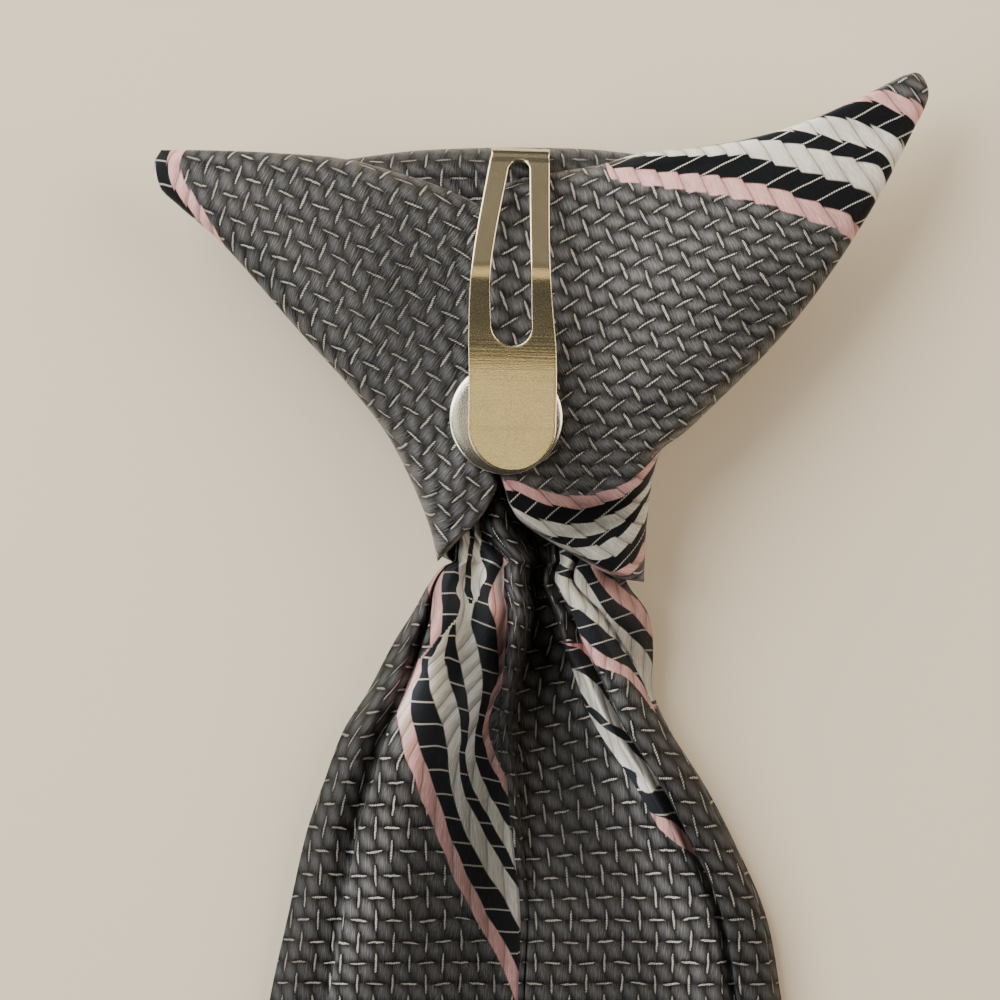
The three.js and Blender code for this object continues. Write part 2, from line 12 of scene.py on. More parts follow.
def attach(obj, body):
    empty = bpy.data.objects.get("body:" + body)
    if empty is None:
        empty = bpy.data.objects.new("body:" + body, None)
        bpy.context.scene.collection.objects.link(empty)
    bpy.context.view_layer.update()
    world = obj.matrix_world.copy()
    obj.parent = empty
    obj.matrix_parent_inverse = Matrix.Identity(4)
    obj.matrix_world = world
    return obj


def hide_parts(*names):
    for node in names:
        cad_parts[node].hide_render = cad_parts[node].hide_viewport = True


MM = 0.001
SHIFT = np.array([-0.01998, 239.4772, 0.0])

# Sizes, the same as in the part's source
CLEARANCE = 0.3
CLOTH_WALL = 1.8
KNOT_HEIGHT = 54.7
KNOT_TOP_WIDTH = 40
KNOT_TOP_SHIFT = -5
FRONT_DEPTH = 8.3
NECK_DEPTH = 6.8
NECK_HALF = 26.4 / 2
FRONT_OVERHANG = 0.9
FRONT_SIDE_ROUND = 3.6
WING_REACH = 49.4
CROWN_HEIGHT = 13
HORN_HEIGHT = 12
HORN_UNDERSIDE = 8
TIP_THICKNESS = 3
LIP_DROP = 1.2
WING_TOP_ROUND = 2.4
WING_SIDE_ROUND = 4
CLIP_SHEET = 0.8
CLIP_LENGTH = 40.6
CLIP_TOP_WIDTH = 7.4
CLIP_WIDTH = 11.2
CLIP_RISE = 3.5
CLIP_CREST = 15.2
CLIP_PAD_LENGTH = 12.2
CLIP_LEG = 15
CLIP_BEND = 0.8
CLIP_CENTRE = -2.6
CLIP_TILT = -1.7
CLIP_LEAN = [0, -0.78, -0.15, 0]
CLIP_ROUND = 0.18
SLOT_TOP_WIDTH = 2.7
SLOT_WIDTH = 5.1
SLOT_START = 1.3
SLOT_LENGTH = 23.4
DISC_DIAMETER = 14.4
DISC_RIM = 0.7
DISC_DOME = 0.4
DISC_BEVEL = 0.5
DISC_CENTRE = (-4.45, -33.8)
TIE_LENGTH = 490
BLADE_WIDTH = 84
BLADE_DEPTH = 4.4
GATHER_LENGTH = 95
GATHER_WIDTH = 75
BLADE_SHIFT = -1.9
TUCK = 11
POINT_WIDTH = 2
BLADE_NECK = -KNOT_HEIGHT * 0.95

# Rows along the clip: its hidden leg, each of the two quarter bends, and the row where the tongue starts
LEG_ROWS = 8
BEND_ROWS = 9
TONGUE_ROW = LEG_ROWS + 2 * BEND_ROWS - 1

# Weave: one cell holds one silver dash, across or along the cloth
CELL_ACROSS = 2.21
CELL_ALONG = 2.67

# How far the weave leans and turns where the blade is gathered into the knot, and where that ends
PULL_LEFT = -0.13
PULL_RIGHT = 0.11
PULL_REACH = (-10, 14)
PULL_ENDS = (60, 106)
TURN = 0.35
TURN_START = 52
TURN_LENGTH = 26

# A group of stripes from its middle line outwards: black, white, black and pink end at these places, the
# last at 1, and PLAIN is a place outside the group
STRIPE_ENDS = (0.113, 0.42, 0.745)
STRIPE_BLUR = 0.013
PLAIN = 2.5
NECK_LINE_AT = (-12.6, -61.4)
NECK_LINE_SLOPE = 1.05
PLEAT_STRIPE_ENDS = (92, 78, 71)
FRONT_REPEAT = 26
FRONT_HALF_GROUP = 2.93

# Colours
GROUND = (0.049, 0.050, 0.053)
SILVER = (0.62, 0.59, 0.55)
BLACK = (0.006, 0.007, 0.009)
WHITE = (0.72, 0.70, 0.63)
PINK = (0.77, 0.42, 0.41)
CLIP_METAL = (0.81, 0.71, 0.475)
DISC_METAL = (0.82, 0.79, 0.68)
SHEEN_TINT = (0.8, 0.76, 0.74, 1)
FLOOR = (0.83, 0.735, 0.58, 1)
ROOM = (0.046, 0.045, 0.043, 1)

# Lights: name, place in metres, size, watts and colour. All of them look at the knot.
KNOT = (-0.004, 0.2, 0.01)
LIGHTS = [
    ("key", (-0.62, 0.70, 0.48), 1.05, 20, (1, 0.975, 0.92)),
    ("fill", (0.75, 0.42, 0.44), 0.9, 8.5, (1, 0.85, 0.68)),
    ("beside", (-0.5, 0.2, 1.1), 0.4, 0.5, (1, 0.98, 0.88)),
    ("side", (-0.75, -0.05, 0.42), 0.5, 2.5, (1, 0.99, 0.95)),
    ("above", (-0.02, 0.22, 1.3), 0.34, 0.42, (1, 0.82, 0.46)),
    ("beyond", (0, 0.95, 1.3), 0.7, 0.2, (1, 0.86, 0.68)),
]

# Camera: its place over the plan, its height, and the width in view at a level above the floor, in metres
CAMERA_AT = (-5.21, -44.2)
CAMERA_HEIGHT = 0.7
VIEW_WIDTH = 0.127
VIEW_LEVEL = 0.012
SENSOR = 36

# Outlines of the wings: reach, down, reach, down and so on, in thousandths of the way to the tip and of the
# knot's height
LEFT_WING = {
    "side": -1,
    "top": [-180, 128, -60, 90, 130, 46, 340, 11, 550, 0, 830, -7, 972, -7],
    "outer": [972, -7, 1000, 30, 978, 79, 901, 128, 762, 208, 481, 419, 307, 545, 182, 651, 94, 762,
        25, 878, 0, 952],
    "bottom": [-224, 775, -160, 845, -85, 897, 0, 952],
    "inner": [-180, 128, -158, 350, -155, 620, -224, 775],
}
RIGHT_WING = {
    "side": 1,
    "top": [-541, 76, -326, 45, -157, 26, -17, 0, 193, -15, 367, -35, 544, -69, 718, -117, 912, -181],
    "outer": [912, -181, 965, -186, 1000, -140, 936, -40, 790, 141, 597, 333, 439, 459, 262, 576, 141, 651,
        62, 692, 34, 745, 20, 808, 8, 878, 0, 1000],
    "bottom": [-486, 811, -442, 854, -341, 902, -225, 947, -107, 988, 0, 1000],
    "inner": [-541, 76, -566, 350, -566, 620, -486, 811],
}

# The blade's outline down its gather: down, left, right, bulk
GATHER = np.array([
    [-0.1, 0, 0, 1],
    [0, 0, 0, 1],
    [0.008, 0.055, 0, 1],
    [0.03, 0.12, 0, 1],
    [0.07, 0.2, 0.1, 1.1],
    [0.11, 0.29, 0.128, 1.2],
    [0.18, 0.42, 0.14, 1.15],
    [0.23, 0.53, 0.22, 1],
    [0.3, 0.62, 0.386, 0.8],
    [0.37, 0.7, 0.527, 0.6],
    [0.48, 0.777, 0.712, 0.35],
    [0.59, 0.852, 0.8, 0.15],
    [0.78, 0.95, 0.936, 0.03],
    [1, 1, 1, 0],
])

# The fold lines of the blade's back: place across in thousandths of the half width, then height in
# hundredths of the blade's depth, at each station down the gather
FOLD_STATIONS = [-0.04, 0.02, 0.1, 0.18, 0.36, 0.58, 1]
FOLDS = {
    "left_edge": ([-1000, -1000, -1000, -1000, -1000, -1000, -1000], [45, 45, 40, 35, 35, 30, 30]),
    "left_roll": ([-980, -970, -880, -860, -880, -900, -920], [80, 80, 80, 78, 80, 82, 80]),
    "left_roll_foot": ([-965, -945, -800, -745, -770, -780, -790], [62, 62, 55, 50, 60, 70, 78]),
    "left_flap_edge": ([-955, -930, -772, -712, -748, -761, -770], [85, 85, 85, 84, 92, 95, 90]),
    "left_flap_crest": ([-920, -800, -660, -630, -670, -660, -600], [95, 98, 100, 100, 100, 100, 95]),
    "left_flap_dip": ([-860, -600, -450, -400, -420, -380, -400], [75, 80, 80, 82, 86, 90, 90]),
    "left_flap_rise": ([-800, -450, -280, -200, -200, -200, -200], [80, 88, 90, 90, 86, 86, 88]),
    "roll_left": ([-720, -276, -150, -60, -30, -30, -40], [60, 60, 64, 80, 80, 82, 84]),
    "roll_crest": ([-500, -150, -70, 0, 0, -5, -10], [100, 100, 104, 95, 80, 76, 80]),
    "seam_foot": ([-200, 0, 30, 35, 22, 12, 5], [40, 40, 30, 30, 42, 70, 78]),
    "seam_edge": ([-170, 20, 55, 55, 35, 20, 10], [15, 12, 12, 15, 44, 92, 100]),
    "valley": ([-30, 80, 150, 200, 240, 300, 300], [6, 5, 6, 10, 48, 88, 96]),
    "inner_pleat_foot": ([100, 135, 270, 490, 670, 720, 650], [12, 12, 15, 28, 68, 84, 90]),
    "inner_pleat_crest": ([130, 165, 310, 580, 735, 775, 750], [72, 72, 76, 75, 84, 76, 84]),
    "middle_pleat_foot": ([170, 250, 420, 675, 790, 820, 840], [62, 60, 50, 42, 46, 50, 70]),
    "middle_pleat_edge": ([200, 270, 445, 693, 800, 829, 850], [88, 88, 90, 95, 96, 84, 84]),
    "middle_pleat_crest": ([350, 380, 580, 830, 880, 900, 910], [100, 100, 100, 98, 92, 86, 84]),
    "outer_pleat_foot": ([450, 455, 720, 955, 965, 965, 950], [78, 78, 76, 70, 70, 70, 70]),
    "outer_pleat_edge": ([470, 470, 735, 968, 975, 975, 965], [90, 94, 85, 62, 55, 55, 60]),
    "outer_pleat_crest": ([750, 750, 880, 985, 988, 988, 980], [86, 86, 70, 50, 45, 42, 45]),
    "right_edge": ([1000, 1000, 1000, 1000, 1000, 1000, 1000], [40, 40, 40, 35, 35, 30, 30]),
}

# Painted light and shade: where the cloth's colour is painted brighter, where light would fall, or darker,
# where shade would fall, than the rest of its piece: a line from (x, y) to (x, y), its width, and the natural
# logarithm of the change at its middle.
PAINTED_LIGHT_AND_SHADE = {
    "left_wing_cloth": [
        [-43.3, -2.3, -31.9, -7.4, 4, 0.25],
        [-17.9, -9.9, -17.9, -27.7, 6, -0.7],
        [-12.8, -35.3, -12.2, -48, 4, 0.25],
    ],
    "right_wing_cloth": [
        [12.6, -6.1, 16.4, -22.6, 8, 0.36],
        [38, -10.5, 13.8, -35.3, 5, -0.65],
        [2.4, -40.4, 8.8, -49.3, 8, -1.4],
        [17.7, -6.7, 29.1, -9.3, 5, 0.25],
        [4.3, -25.1, 3.7, -37.8, 5, -0.5],
        [25.3, 0.2, 36.7, 4.1, 5, 0.45],
    ],
    "knot_front_cloth": [[-21.7, 0, 8.8, 0, 4, -0.6]],
    "blade_cloth": [
        [-16, -68.3, -24.9, -107.7, 3.2, 1.35],
        [-24.9, -89.9, -28, -107.7, 3, 0.6],
        [-7.8, -69.6, -8.4, -107.7, 4.5, -0.95],
        [-14.1, -77.2, -14.7, -105.2, 4, -0.45],
        [-4.6, -64.5, -5.2, -77.2, 2.5, -0.8],
        [4.3, -74.7, 4.3, -92.5, 3, -0.6],
        [-6.5, -46.7, -4.6, -59.4, 2.5, 1.45],
        [3, -56.9, 12.6, -81, 3.4, 1.3],
        [12.6, -81, 20.2, -110, 3.4, 1.1],
        [20.2, -92.5, 22.1, -107.7, 3, 0.5],
        [-10.9, -56.9, -17.9, -73.4, 3, 0.85],
    ],
}

# Stripes: where each boundary of a group of stripes runs, as x, y, x, y and so on in tenths of a millimetre.
# The key is the boundary's place in the group, from one outer edge (-1) to the other (1).
RIGHT_TIP_STRIPES = {
    -1: [75, -33, 202, -52, 295, -69, 334, -84, 396, -107],
    -0.745: [202, -29, 265, -39, 334, -60, 408, -91],
    -0.42: [202, -4, 260, -4, 296, -14, 366, -33, 425, -55],
    -0.113: [202, 17, 300, 14, 363, 0, 436, -23],
    0.113: [283, 32, 315, 29, 378, 15, 452, -18],
    0.42: [304, 48, 382, 44, 419, 33, 457, 18],
    0.745: [377, 66, 415, 66, 452, 52, 480, 39],
    1: [400, 78, 444, 77, 494, 58],
}
NECK_BAND_STRIPES = {
    -1: [-48, -417, -14, -425, 18, -434, 56, -436, 88, -428, 126, -411, 147, -401],
    -0.745: [-37, -429, -8, -442, 24, -450, 62, -452, 94, -442, 126, -427, 145, -414],
    -0.42: [-1, -467, 29, -472, 83, -461, 126, -441],
    -0.113: [-8, -485, 44, -490, 93, -478, 137, -450],
    0.113: [19, -499, 44, -502, 89, -491, 137, -456],
    0.42: [39, -513, 71, -518, 103, -507, 133, -484],
    0.745: [66, -530, 88, -535, 118, -525, 130, -514],
    1: [100, -542, 130, -535],
}
LEFT_TIP_STRIPES = {
    -1: [-456, 3, -459, -23, -446, -48, -424, -84],
    -0.745: [-476, 3, -476, -20, -466, -48, -440, -85],
    0.3: [-534, -20, -524, -60],
}
LEFT_NECK_STRIPES = {
    -1: [-144, -518, -144, -556, -141, -569, -140, -594, -141, -620],
    -0.745: [-127, -499, -127, -544, -127, -569, -126, -588, -127, -610],
    -0.42: [-109, -480, -108, -505, -104, -525, -103, -544, -102, -569],
    -0.113: [-90, -480, -90, -499, -93, -518, -97, -541, -99, -559],
    0.113: [-84, -480, -86, -499, -90, -522, -89, -544, -86, -564],
    0.42: [-78, -480, -79, -508, -71, -528, -69, -544, -78, -558],
    0.745: [-44, -503, -48, -525, -58, -544, -65, -559, -64, -582],
    1: [-34, -503, -38, -518, -46, -541, -48, -556, -44, -575],
}
LEFT_FLAP_STRIPES = {
    -1.4: [-173, -626, -179, -652, -188, -683],
    -1: [-149, -620, -156, -639, -164, -660, -173, -686, -184, -715, -179, -740, -173, -772, -161, -798,
        -155, -823, -142, -848, -133, -874, -121, -899, -113, -925, -98, -950, -86, -975, -71, -1001,
        -57, -1026],
    -0.745: [-133, -620, -144, -639, -151, -660, -165, -686, -165, -721, -158, -749, -151, -772,
        -141, -798, -132, -823, -123, -848, -116, -874, -104, -899, -94, -925, -80, -950, -69, -975,
        -52, -1001, -38, -1026],
    -0.42: [-122, -607, -132, -626, -144, -643, -145, -660, -142, -677, -137, -696, -131, -715, -124, -734,
        -121, -753, -118, -772, -116, -798, -111, -823, -104, -848, -94, -874, -80, -899, -66, -925,
        -48, -950, -36, -975, -22, -1001],
    -0.113: [-119, -613, -123, -639, -119, -655, -116, -677, -109, -696, -105, -711, -103, -732,
        -102, -753, -104, -772, -103, -798, -97, -823, -83, -848, -70, -874, -55, -899, -39, -925,
        -22, -950],
    0.113: [-88, -566, -100, -584, -109, -594, -108, -613, -107, -632, -104, -648, -99, -671, -95, -690,
        -93, -709, -91, -728, -93, -747, -97, -766, -91, -798, -80, -823, -66, -848, -53, -874, -39, -899,
        -25, -925],
    0.42: [-85, -569, -89, -594, -86, -613, -81, -630, -78, -648, -75, -671, -75, -690, -78, -709,
        -80, -724, -84, -740, -85, -759, -84, -772, -76, -798, -65, -823, -50, -848, -33, -874, -22, -906],
    0.745: [-65, -559, -64, -582, -57, -601, -55, -626, -53, -658, -56, -677, -65, -700, -71, -721,
        -75, -740, -70, -759, -65, -779, -53, -798, -41, -823, -29, -848],
    1: [-48, -556, -44, -575, -43, -601, -42, -626, -43, -645, -47, -671, -60, -698, -66, -721, -67, -740,
        -61, -759, -53, -781, -44, -798, -29, -823],
}
INNER_PLEAT_STRIPES = {
    -1: [5, -578, 15, -585, 33, -596, 47, -610],
    -0.745: [14, -594, 28, -616, 43, -626, 53, -634, 62, -643],
    -0.42: [27, -650, 37, -658, 60, -668, 77, -683, 90, -704, 103, -729],
    -0.113: [37, -671, 53, -692, 62, -707, 77, -716, 103, -730, 116, -747],
    0.113: [53, -704, 62, -715, 75, -730, 90, -740, 110, -752, 126, -772, 141, -804],
    0.42: [62, -732, 75, -744, 90, -768, 103, -782, 126, -794, 145, -806],
    0.745: [103, -808, 117, -823, 132, -838, 145, -846, 166, -852, 183, -867, 197, -885],
    1: [107, -823, 126, -839, 138, -851, 154, -866, 170, -880, 193, -894],
}
MIDDLE_PLEAT_STRIPES = {
    -0.3: [5, -509, 30, -518, 46, -528, 62, -551, 75, -569],
    0: [14, -522, 39, -536, 60, -554, 76, -575, 98, -601],
    0.126: [15, -531, 24, -540, 43, -547, 62, -565, 75, -583, 94, -606, 113, -631],
    0.42: [19, -546, 27, -563, 37, -578, 62, -592, 79, -605, 100, -622, 118, -641],
    0.745: [11, -579, 22, -585, 33, -594, 47, -611, 62, -626, 79, -639, 107, -653, 126, -672, 141, -695],
    1: [15, -596, 28, -613, 49, -632, 69, -652, 88, -660, 113, -672, 133, -695],
    2: [75, -696, 107, -721, 138, -753],
}
OUTER_PLEAT_STRIPES = {
    0.126: [37, -550, 62, -574, 85, -612, 107, -648, 128, -690],
    0.42: [53, -537, 65, -556, 75, -573, 90, -593, 110, -611, 132, -632, 143, -650],
    0.745: [69, -537, 81, -556, 100, -575, 126, -596, 141, -616],
    1: [79, -535, 94, -544, 110, -559, 126, -571, 137, -587],
    1.4: [98, -518, 126, -547, 141, -565],
}

# Weave: rows of x, y and the local steps of one cell across and one cell along. The anchor is the middle
# of a dash that lies across.
LEFT_WEAVE = [
    (-38.2, -6.1, 1.9, -0.95, -0.9, -2.42),
    (-30.6, -3.6, 2.1, -0.83, -1.3, -2.3),
    (-31.9, -9.9, 2.1, -0.89, -1.2, -2.54),
    (-26.8, -13.7, 2.3, -0.83, -1.15, -2.6),
    (-26.8, -20.1, 2.16, -0.76, -0.76, -2.54),
    (-19.2, -12.4, 2.41, -1.2, -1.27, -2.1),
    (-19.2, -21.3, 2.55, -1.15, -1.2, -2.29),
    (-14.1, -18.8, 2.45, -1.27, -1.2, -2.13),
    (-12.8, -26.4, 2.35, -1.2, -1.2, -2.13),
    (-15.4, -31.5, 1.85, -1.15, -1.6, -2.16),
    (-11.6, -42.9, 1.45, -1.65, -1.85, -1.75),
]
RIGHT_WEAVE = [
    (2.6, -6, 2.2, 0.95, 0.9, -2.2),
    (5.6, -13.7, 2.3, 1.15, 1.0, -2.42),
    (10.0, -18.8, 2.27, 1.48, 0.77, -2.22),
    (15.1, -11.2, 2.16, 1.33, 1.02, -1.8),
    (10.0, -25.1, 2.35, 1.72, 0.57, -1.97),
    (20.2, -17.5, 2.4, 1.27, 0.85, -2.31),
    (25.3, -11.2, 2.1, 1.0, 1.35, -2.03),
    (31.6, -11.2, 2.03, 1.02, 1.52, -2.28),
    (38.6, -2, 1.95, 1.15, 1.3, -1.8),
    (7.5, -34, 2.35, 1.43, 0.83, -2.22),
    (12.6, -31.5, 2.5, 1.15, 0.83, -2.2),
    (1.0, -44, 1.8, 1.5, 1.4, -1.5),
    (8.6, -47, 1.55, 1.45, 1.8, -1.2),
    (12.6, -45, 1.4, 1.65, 1.9, -0.95),
]
LEFT_ANCHOR = (-34.3, -10.2)
RIGHT_ANCHOR = (5.1, -15.7)

# Folds and dents of the wings: a line from x, y to x, y, then its half width and its height
LEFT_CREASES = [
    (-25.4, -0.8, -8.4, -6.5, 1.6, -0.55),
    (-41.4, -5, -17.4, -27, 3.4, 0.3),
    (-31.4, -9, -11.4, -33, 3, -0.25),
    (-13.4, -37, -10.9, -49, 1.6, -0.3),
    (-8.4, -38, -13.4, -47, 1.5, 0.35),
    (-48.4, -2, -39.4, -3, 1.6, -0.35),
]
RIGHT_CREASES = [
    (4.6, -3.4, 20.6, -1.5, 1.3, -0.4),
    (5.6, -20, 30.6, -14, 4.5, 0.35),
    (2.6, -34, 20.6, -27, 3.5, 0.3),
    (10.6, -33, 17.6, -36, 1.8, -0.3),
    (-1.4, -45.5, 13.6, -43, 1.1, 0.35),
    (1.6, -49.6, 13.6, -46.5, 0.9, -0.3),
    (36.6, 2, 46.6, 3, 2, -0.3),
]


def lerp(a, b, t):
    return a + (b - a) * t


def smoothstep(x, low, high):
    t = np.clip((x - low) / (high - low), 0, 1)
    return t * t * (3 - 2 * t)


def follow(places, values, at):
    """Smooth values between a table's rows. values may hold several columns."""
    places, values, at = (np.asarray(a, float) for a in (places, values, at))
    last = len(places) - 1
    before, after = np.maximum(np.arange(last + 1) - 1, 0), np.minimum(np.arange(last + 1) + 1, last)
    column = (slice(None),) + (None,) * (values.ndim - 1)
    slopes = (values[after] - values[before]) / (places[after] - places[before])[column]
    i = np.clip(np.searchsorted(places, at, side="right") - 1, 0, last - 1)
    span = (places[i + 1] - places[i])[column]
    t = np.clip((at - places[i])[column] / span, 0, 1)
    rise = values[i + 1] - values[i]
    bend = t * (1 - t)
    near, far = (1 - t) * (slopes[i] * span - rise), t * (slopes[i + 1] * span - rise)
    return values[i] + rise * t + bend * (near - far)


def curve_through(points):
    """A smooth curve through the points, measured by its length."""
    p = np.asarray(points, float)
    p = np.vstack([2 * p[0] - p[1], p, 2 * p[-1] - p[-2]])
    pieces = []
    t = np.linspace(0, 1, 60)[:, None]
    for k in range(1, len(p) - 2):
        d0, d1, d2 = (max(np.linalg.norm(p[k + j + 1] - p[k + j]) ** 0.5, 1e-4) for j in (-1, 0, 1))
        m1 = ((p[k] - p[k - 1]) / d0 - (p[k + 1] - p[k - 1]) / (d0 + d1) + (p[k + 1] - p[k]) / d1) * d1
        m2 = ((p[k + 1] - p[k]) / d1 - (p[k + 2] - p[k]) / (d1 + d2) + (p[k + 2] - p[k + 1]) / d2) * d1
        a, b = p[k], p[k + 1]
        pieces.append(a + m1 * t + (3 * (b - a) - 2 * m1 - m2) * t**2 + (2 * (a - b) + m1 + m2) * t**3)
    line = np.vstack(pieces)
    length = np.concatenate([[0], np.cumsum(np.linalg.norm(np.diff(line, axis=0), axis=1))])
    length /= length[-1]
    return lambda s: np.stack([np.interp(s, length, line[:, c]) for c in (0, 1)], -1)


def patch_between(outline):
    """A surface between four boundary curves that share their corners."""
    curves = {name: curve_through(rows) for name, rows in outline.items()}
    corners = [curves["top"](0), curves["top"](1), curves["bottom"](0), curves["bottom"](1)]

    def surface(a, b):
        u, v = a[..., None], b[..., None]
        point = curves["top"](a) * (1 - v) + curves["bottom"](a) * v
        point = point + curves["inner"](b) * (1 - u) + curves["outer"](b) * u
        point = point - corners[0] * (1 - u) * (1 - v) - corners[1] * u * (1 - v)
        return point - corners[2] * (1 - u) * v - corners[3] * u * v

    return surface


def rounding(distance, radius):
    inward = np.clip(distance / radius, 0, 1)
    return np.sqrt(1 - (1 - inward) ** 2)


def weave_from(rows, anchor):
    """A smooth map from the plan to cells across and along, whose local steps match the rows."""

    def terms(x, y):
        x, y = x / 40, y / 40
        return np.stack([x, y, x * x, x * y, y * y, x**3, x * x * y, x * y * y, y**3], -1)

    step = 0.01
    equations, targets = [], []
    for x, y, hx, hy, vx, vy in rows:
        for dx, dy, target in ((hx, hy, (1, 0)), (vx, vy, (0, 1))):
            equations.append((terms(x + dx * step, y + dy * step) - terms(x, y)) / step)
            targets.append(target)
    weak = np.eye(9) * 0.03 * np.array([0, 0, 1, 1, 1, 2, 2, 2, 2])[:, None]
    left = np.vstack([equations, weak])
    right = np.vstack([targets, np.zeros((9, 2))])
    answer = np.linalg.lstsq(left, right, rcond=None)[0]
    start = terms(*np.array(anchor, float)) @ answer
    return lambda x, y: terms(x, y) @ answer - start + 0.5


def stripes_from(table):
    """A smooth map from the plan to the place in a group of stripes, from points on its boundaries."""
    known = np.vstack([
        np.insert(np.reshape(points, (-1, 2)) / 10, 2, boundary, axis=1) for boundary, points in table.items()
    ])

    def kernel(a, b):
        r2 = ((a[..., None, :] - b) ** 2).sum(-1)
        return 0.5 * r2 * np.log(r2 + 1e-9)

    xy, n = known[:, :2], len(known)
    flat = np.hstack([np.ones((n, 1)), xy])
    system = np.block([[kernel(xy, xy) + np.eye(n) * 0.4, flat], [flat.T, np.zeros((3, 3))]])
    answer = np.linalg.solve(system, np.concatenate([known[:, 2], np.zeros(3)]))

    def place(x, y):
        p = np.stack([x, y], -1)
        return kernel(p, xy) @ answer[:n] + answer[n] + p @ answer[n + 1 :]

    return place


def creases(x, y, rows):
    """The sum of soft lines over the plan: heights for the folds, and logarithms for the painted light and
    shade.
    """
    height = np.zeros_like(x)
    for x0, y0, x1, y1, width, rise in rows:
        dx, dy = x1 - x0, y1 - y0
        t = np.clip(((x - x0) * dx + (y - y0) * dy) / (dx * dx + dy * dy), 0, 1)
        off = np.hypot(x - x0 - t * dx, y - y0 - t * dy) / width
        height += rise * np.exp(-off * off) * np.sin(pi * np.clip(t * 0.8 + 0.1, 0, 1)) ** 0.5
    return height


def build(name, grids):
    """One mesh from grids of points with their weave cells and stripe places. It adds the piece's painted
    light and shade.
    """
    points, faces, weave, stripe = [], [], [], []
    start = 0
    for grid, cells, places in grids:
        rows, columns = grid.shape[:2]
        index = start + np.arange(rows * columns).reshape(rows, columns)
        quads = np.stack([index[:-1, :-1], index[1:, :-1], index[1:, 1:], index[:-1, 1:]], -1)
        faces.append(quads.reshape(-1, 4))
        points.append(grid.reshape(-1, 3))
        weave.append(np.asarray(cells, float).reshape(-1, 2))
        stripe.append(np.asarray(places, float).reshape(-1))
        start += rows * columns
    points, faces = np.vstack(points), np.vstack(faces)
    weave, stripe = np.vstack(weave), np.concatenate(stripe)
    mesh = bpy.data.meshes.new(name)
    mesh.from_pydata((points + SHIFT) * MM, [], faces.tolist())
    loops = np.zeros(len(mesh.loops), np.int32)
    mesh.loops.foreach_get("vertex_index", loops)
    # The Stripe map's second place carries the painted light and shade, a factor on the cloth's colour.
    painted_light_and_shade = np.exp(creases(points[:, 0], points[:, 1], PAINTED_LIGHT_AND_SHADE.get(name, [])))
    for layer, values in (("Weave", weave[loops]), ("Stripe", np.stack([stripe, painted_light_and_shade], -1)[loops])):
        mesh.uv_layers.new(name=layer).data.foreach_set("uv", values.astype(np.float32).ravel())
    bm = bmesh.new()
    bm.from_mesh(mesh)
    bmesh.ops.remove_doubles(bm, verts=bm.verts, dist=1e-6)
    bmesh.ops.dissolve_degenerate(bm, dist=1e-7, edges=bm.edges)
    bmesh.ops.recalc_face_normals(bm, faces=bm.faces)
    for face in bm.faces:
        face.smooth = True
    bm.to_mesh(mesh)
    bm.free()
    obj = bpy.data.objects.new(name, mesh)
    bpy.context.scene.collection.objects.link(obj)
    return obj


def split_height(y):
    return lerp(FRONT_DEPTH, NECK_DEPTH, smoothstep(-y, KNOT_HEIGHT * 0.5, KNOT_HEIGHT * 0.95))


def crown_height(x, y):
    level = lerp(CROWN_HEIGHT, HORN_HEIGHT, smoothstep(np.abs(x), NECK_HALF, WING_REACH * 0.7))
    return level - LIP_DROP * smoothstep(-y, KNOT_HEIGHT * 0.74, KNOT_HEIGHT * 0.9)


def hollow(x, y):
    """Where the knot is open inside for the blade's end."""
    start = -BLADE_NECK - TUCK
    along = smoothstep(-y, start - 3, start - 1)
    side = NECK_HALF - CLOTH_WALL
    return along * (1 - smoothstep(np.abs(x), side - 0.6, side + 0.6))


def padded(outline, radii, heights, steps, weave, stripe):
    """Both faces of a padded piece over a patch, as grids with their weave and stripes."""
    surface = patch_between(outline)
    even = (1 - np.cos(np.linspace(0, pi, steps + 1))) / 2
    even = lerp(even, np.linspace(0, 1, steps + 1), 0.35)
    a, b = np.meshgrid(even, even)
    point = surface(a, b)
    zero, one = np.zeros_like(a), np.ones_like(a)
    share = one.copy()
    for name, at in {"top": (a, zero), "bottom": (a, one), "inner": (zero, b), "outer": (one, b)}.items():
        share *= rounding(np.linalg.norm(point - surface(*at), axis=-1), radii[name])
    x, y = point[..., 0], point[..., 1]
    rim, upper, lower = heights(x, y)
    middle = point.reshape(-1, 2).mean(0)
    away = point - middle
    away /= np.maximum(np.linalg.norm(away, axis=-1, keepdims=True), 1e-6)
    grids = []
    for face in (upper, lower):
        z = lerp(rim, face, share)
        spread = point + away * (np.abs(face - z) * 0.6)[..., None]
        sx, sy = spread[..., 0], spread[..., 1]
        grids.append((np.stack([x, y, z], -1), weave(sx, sy), stripe(sx, sy)))
    return grids


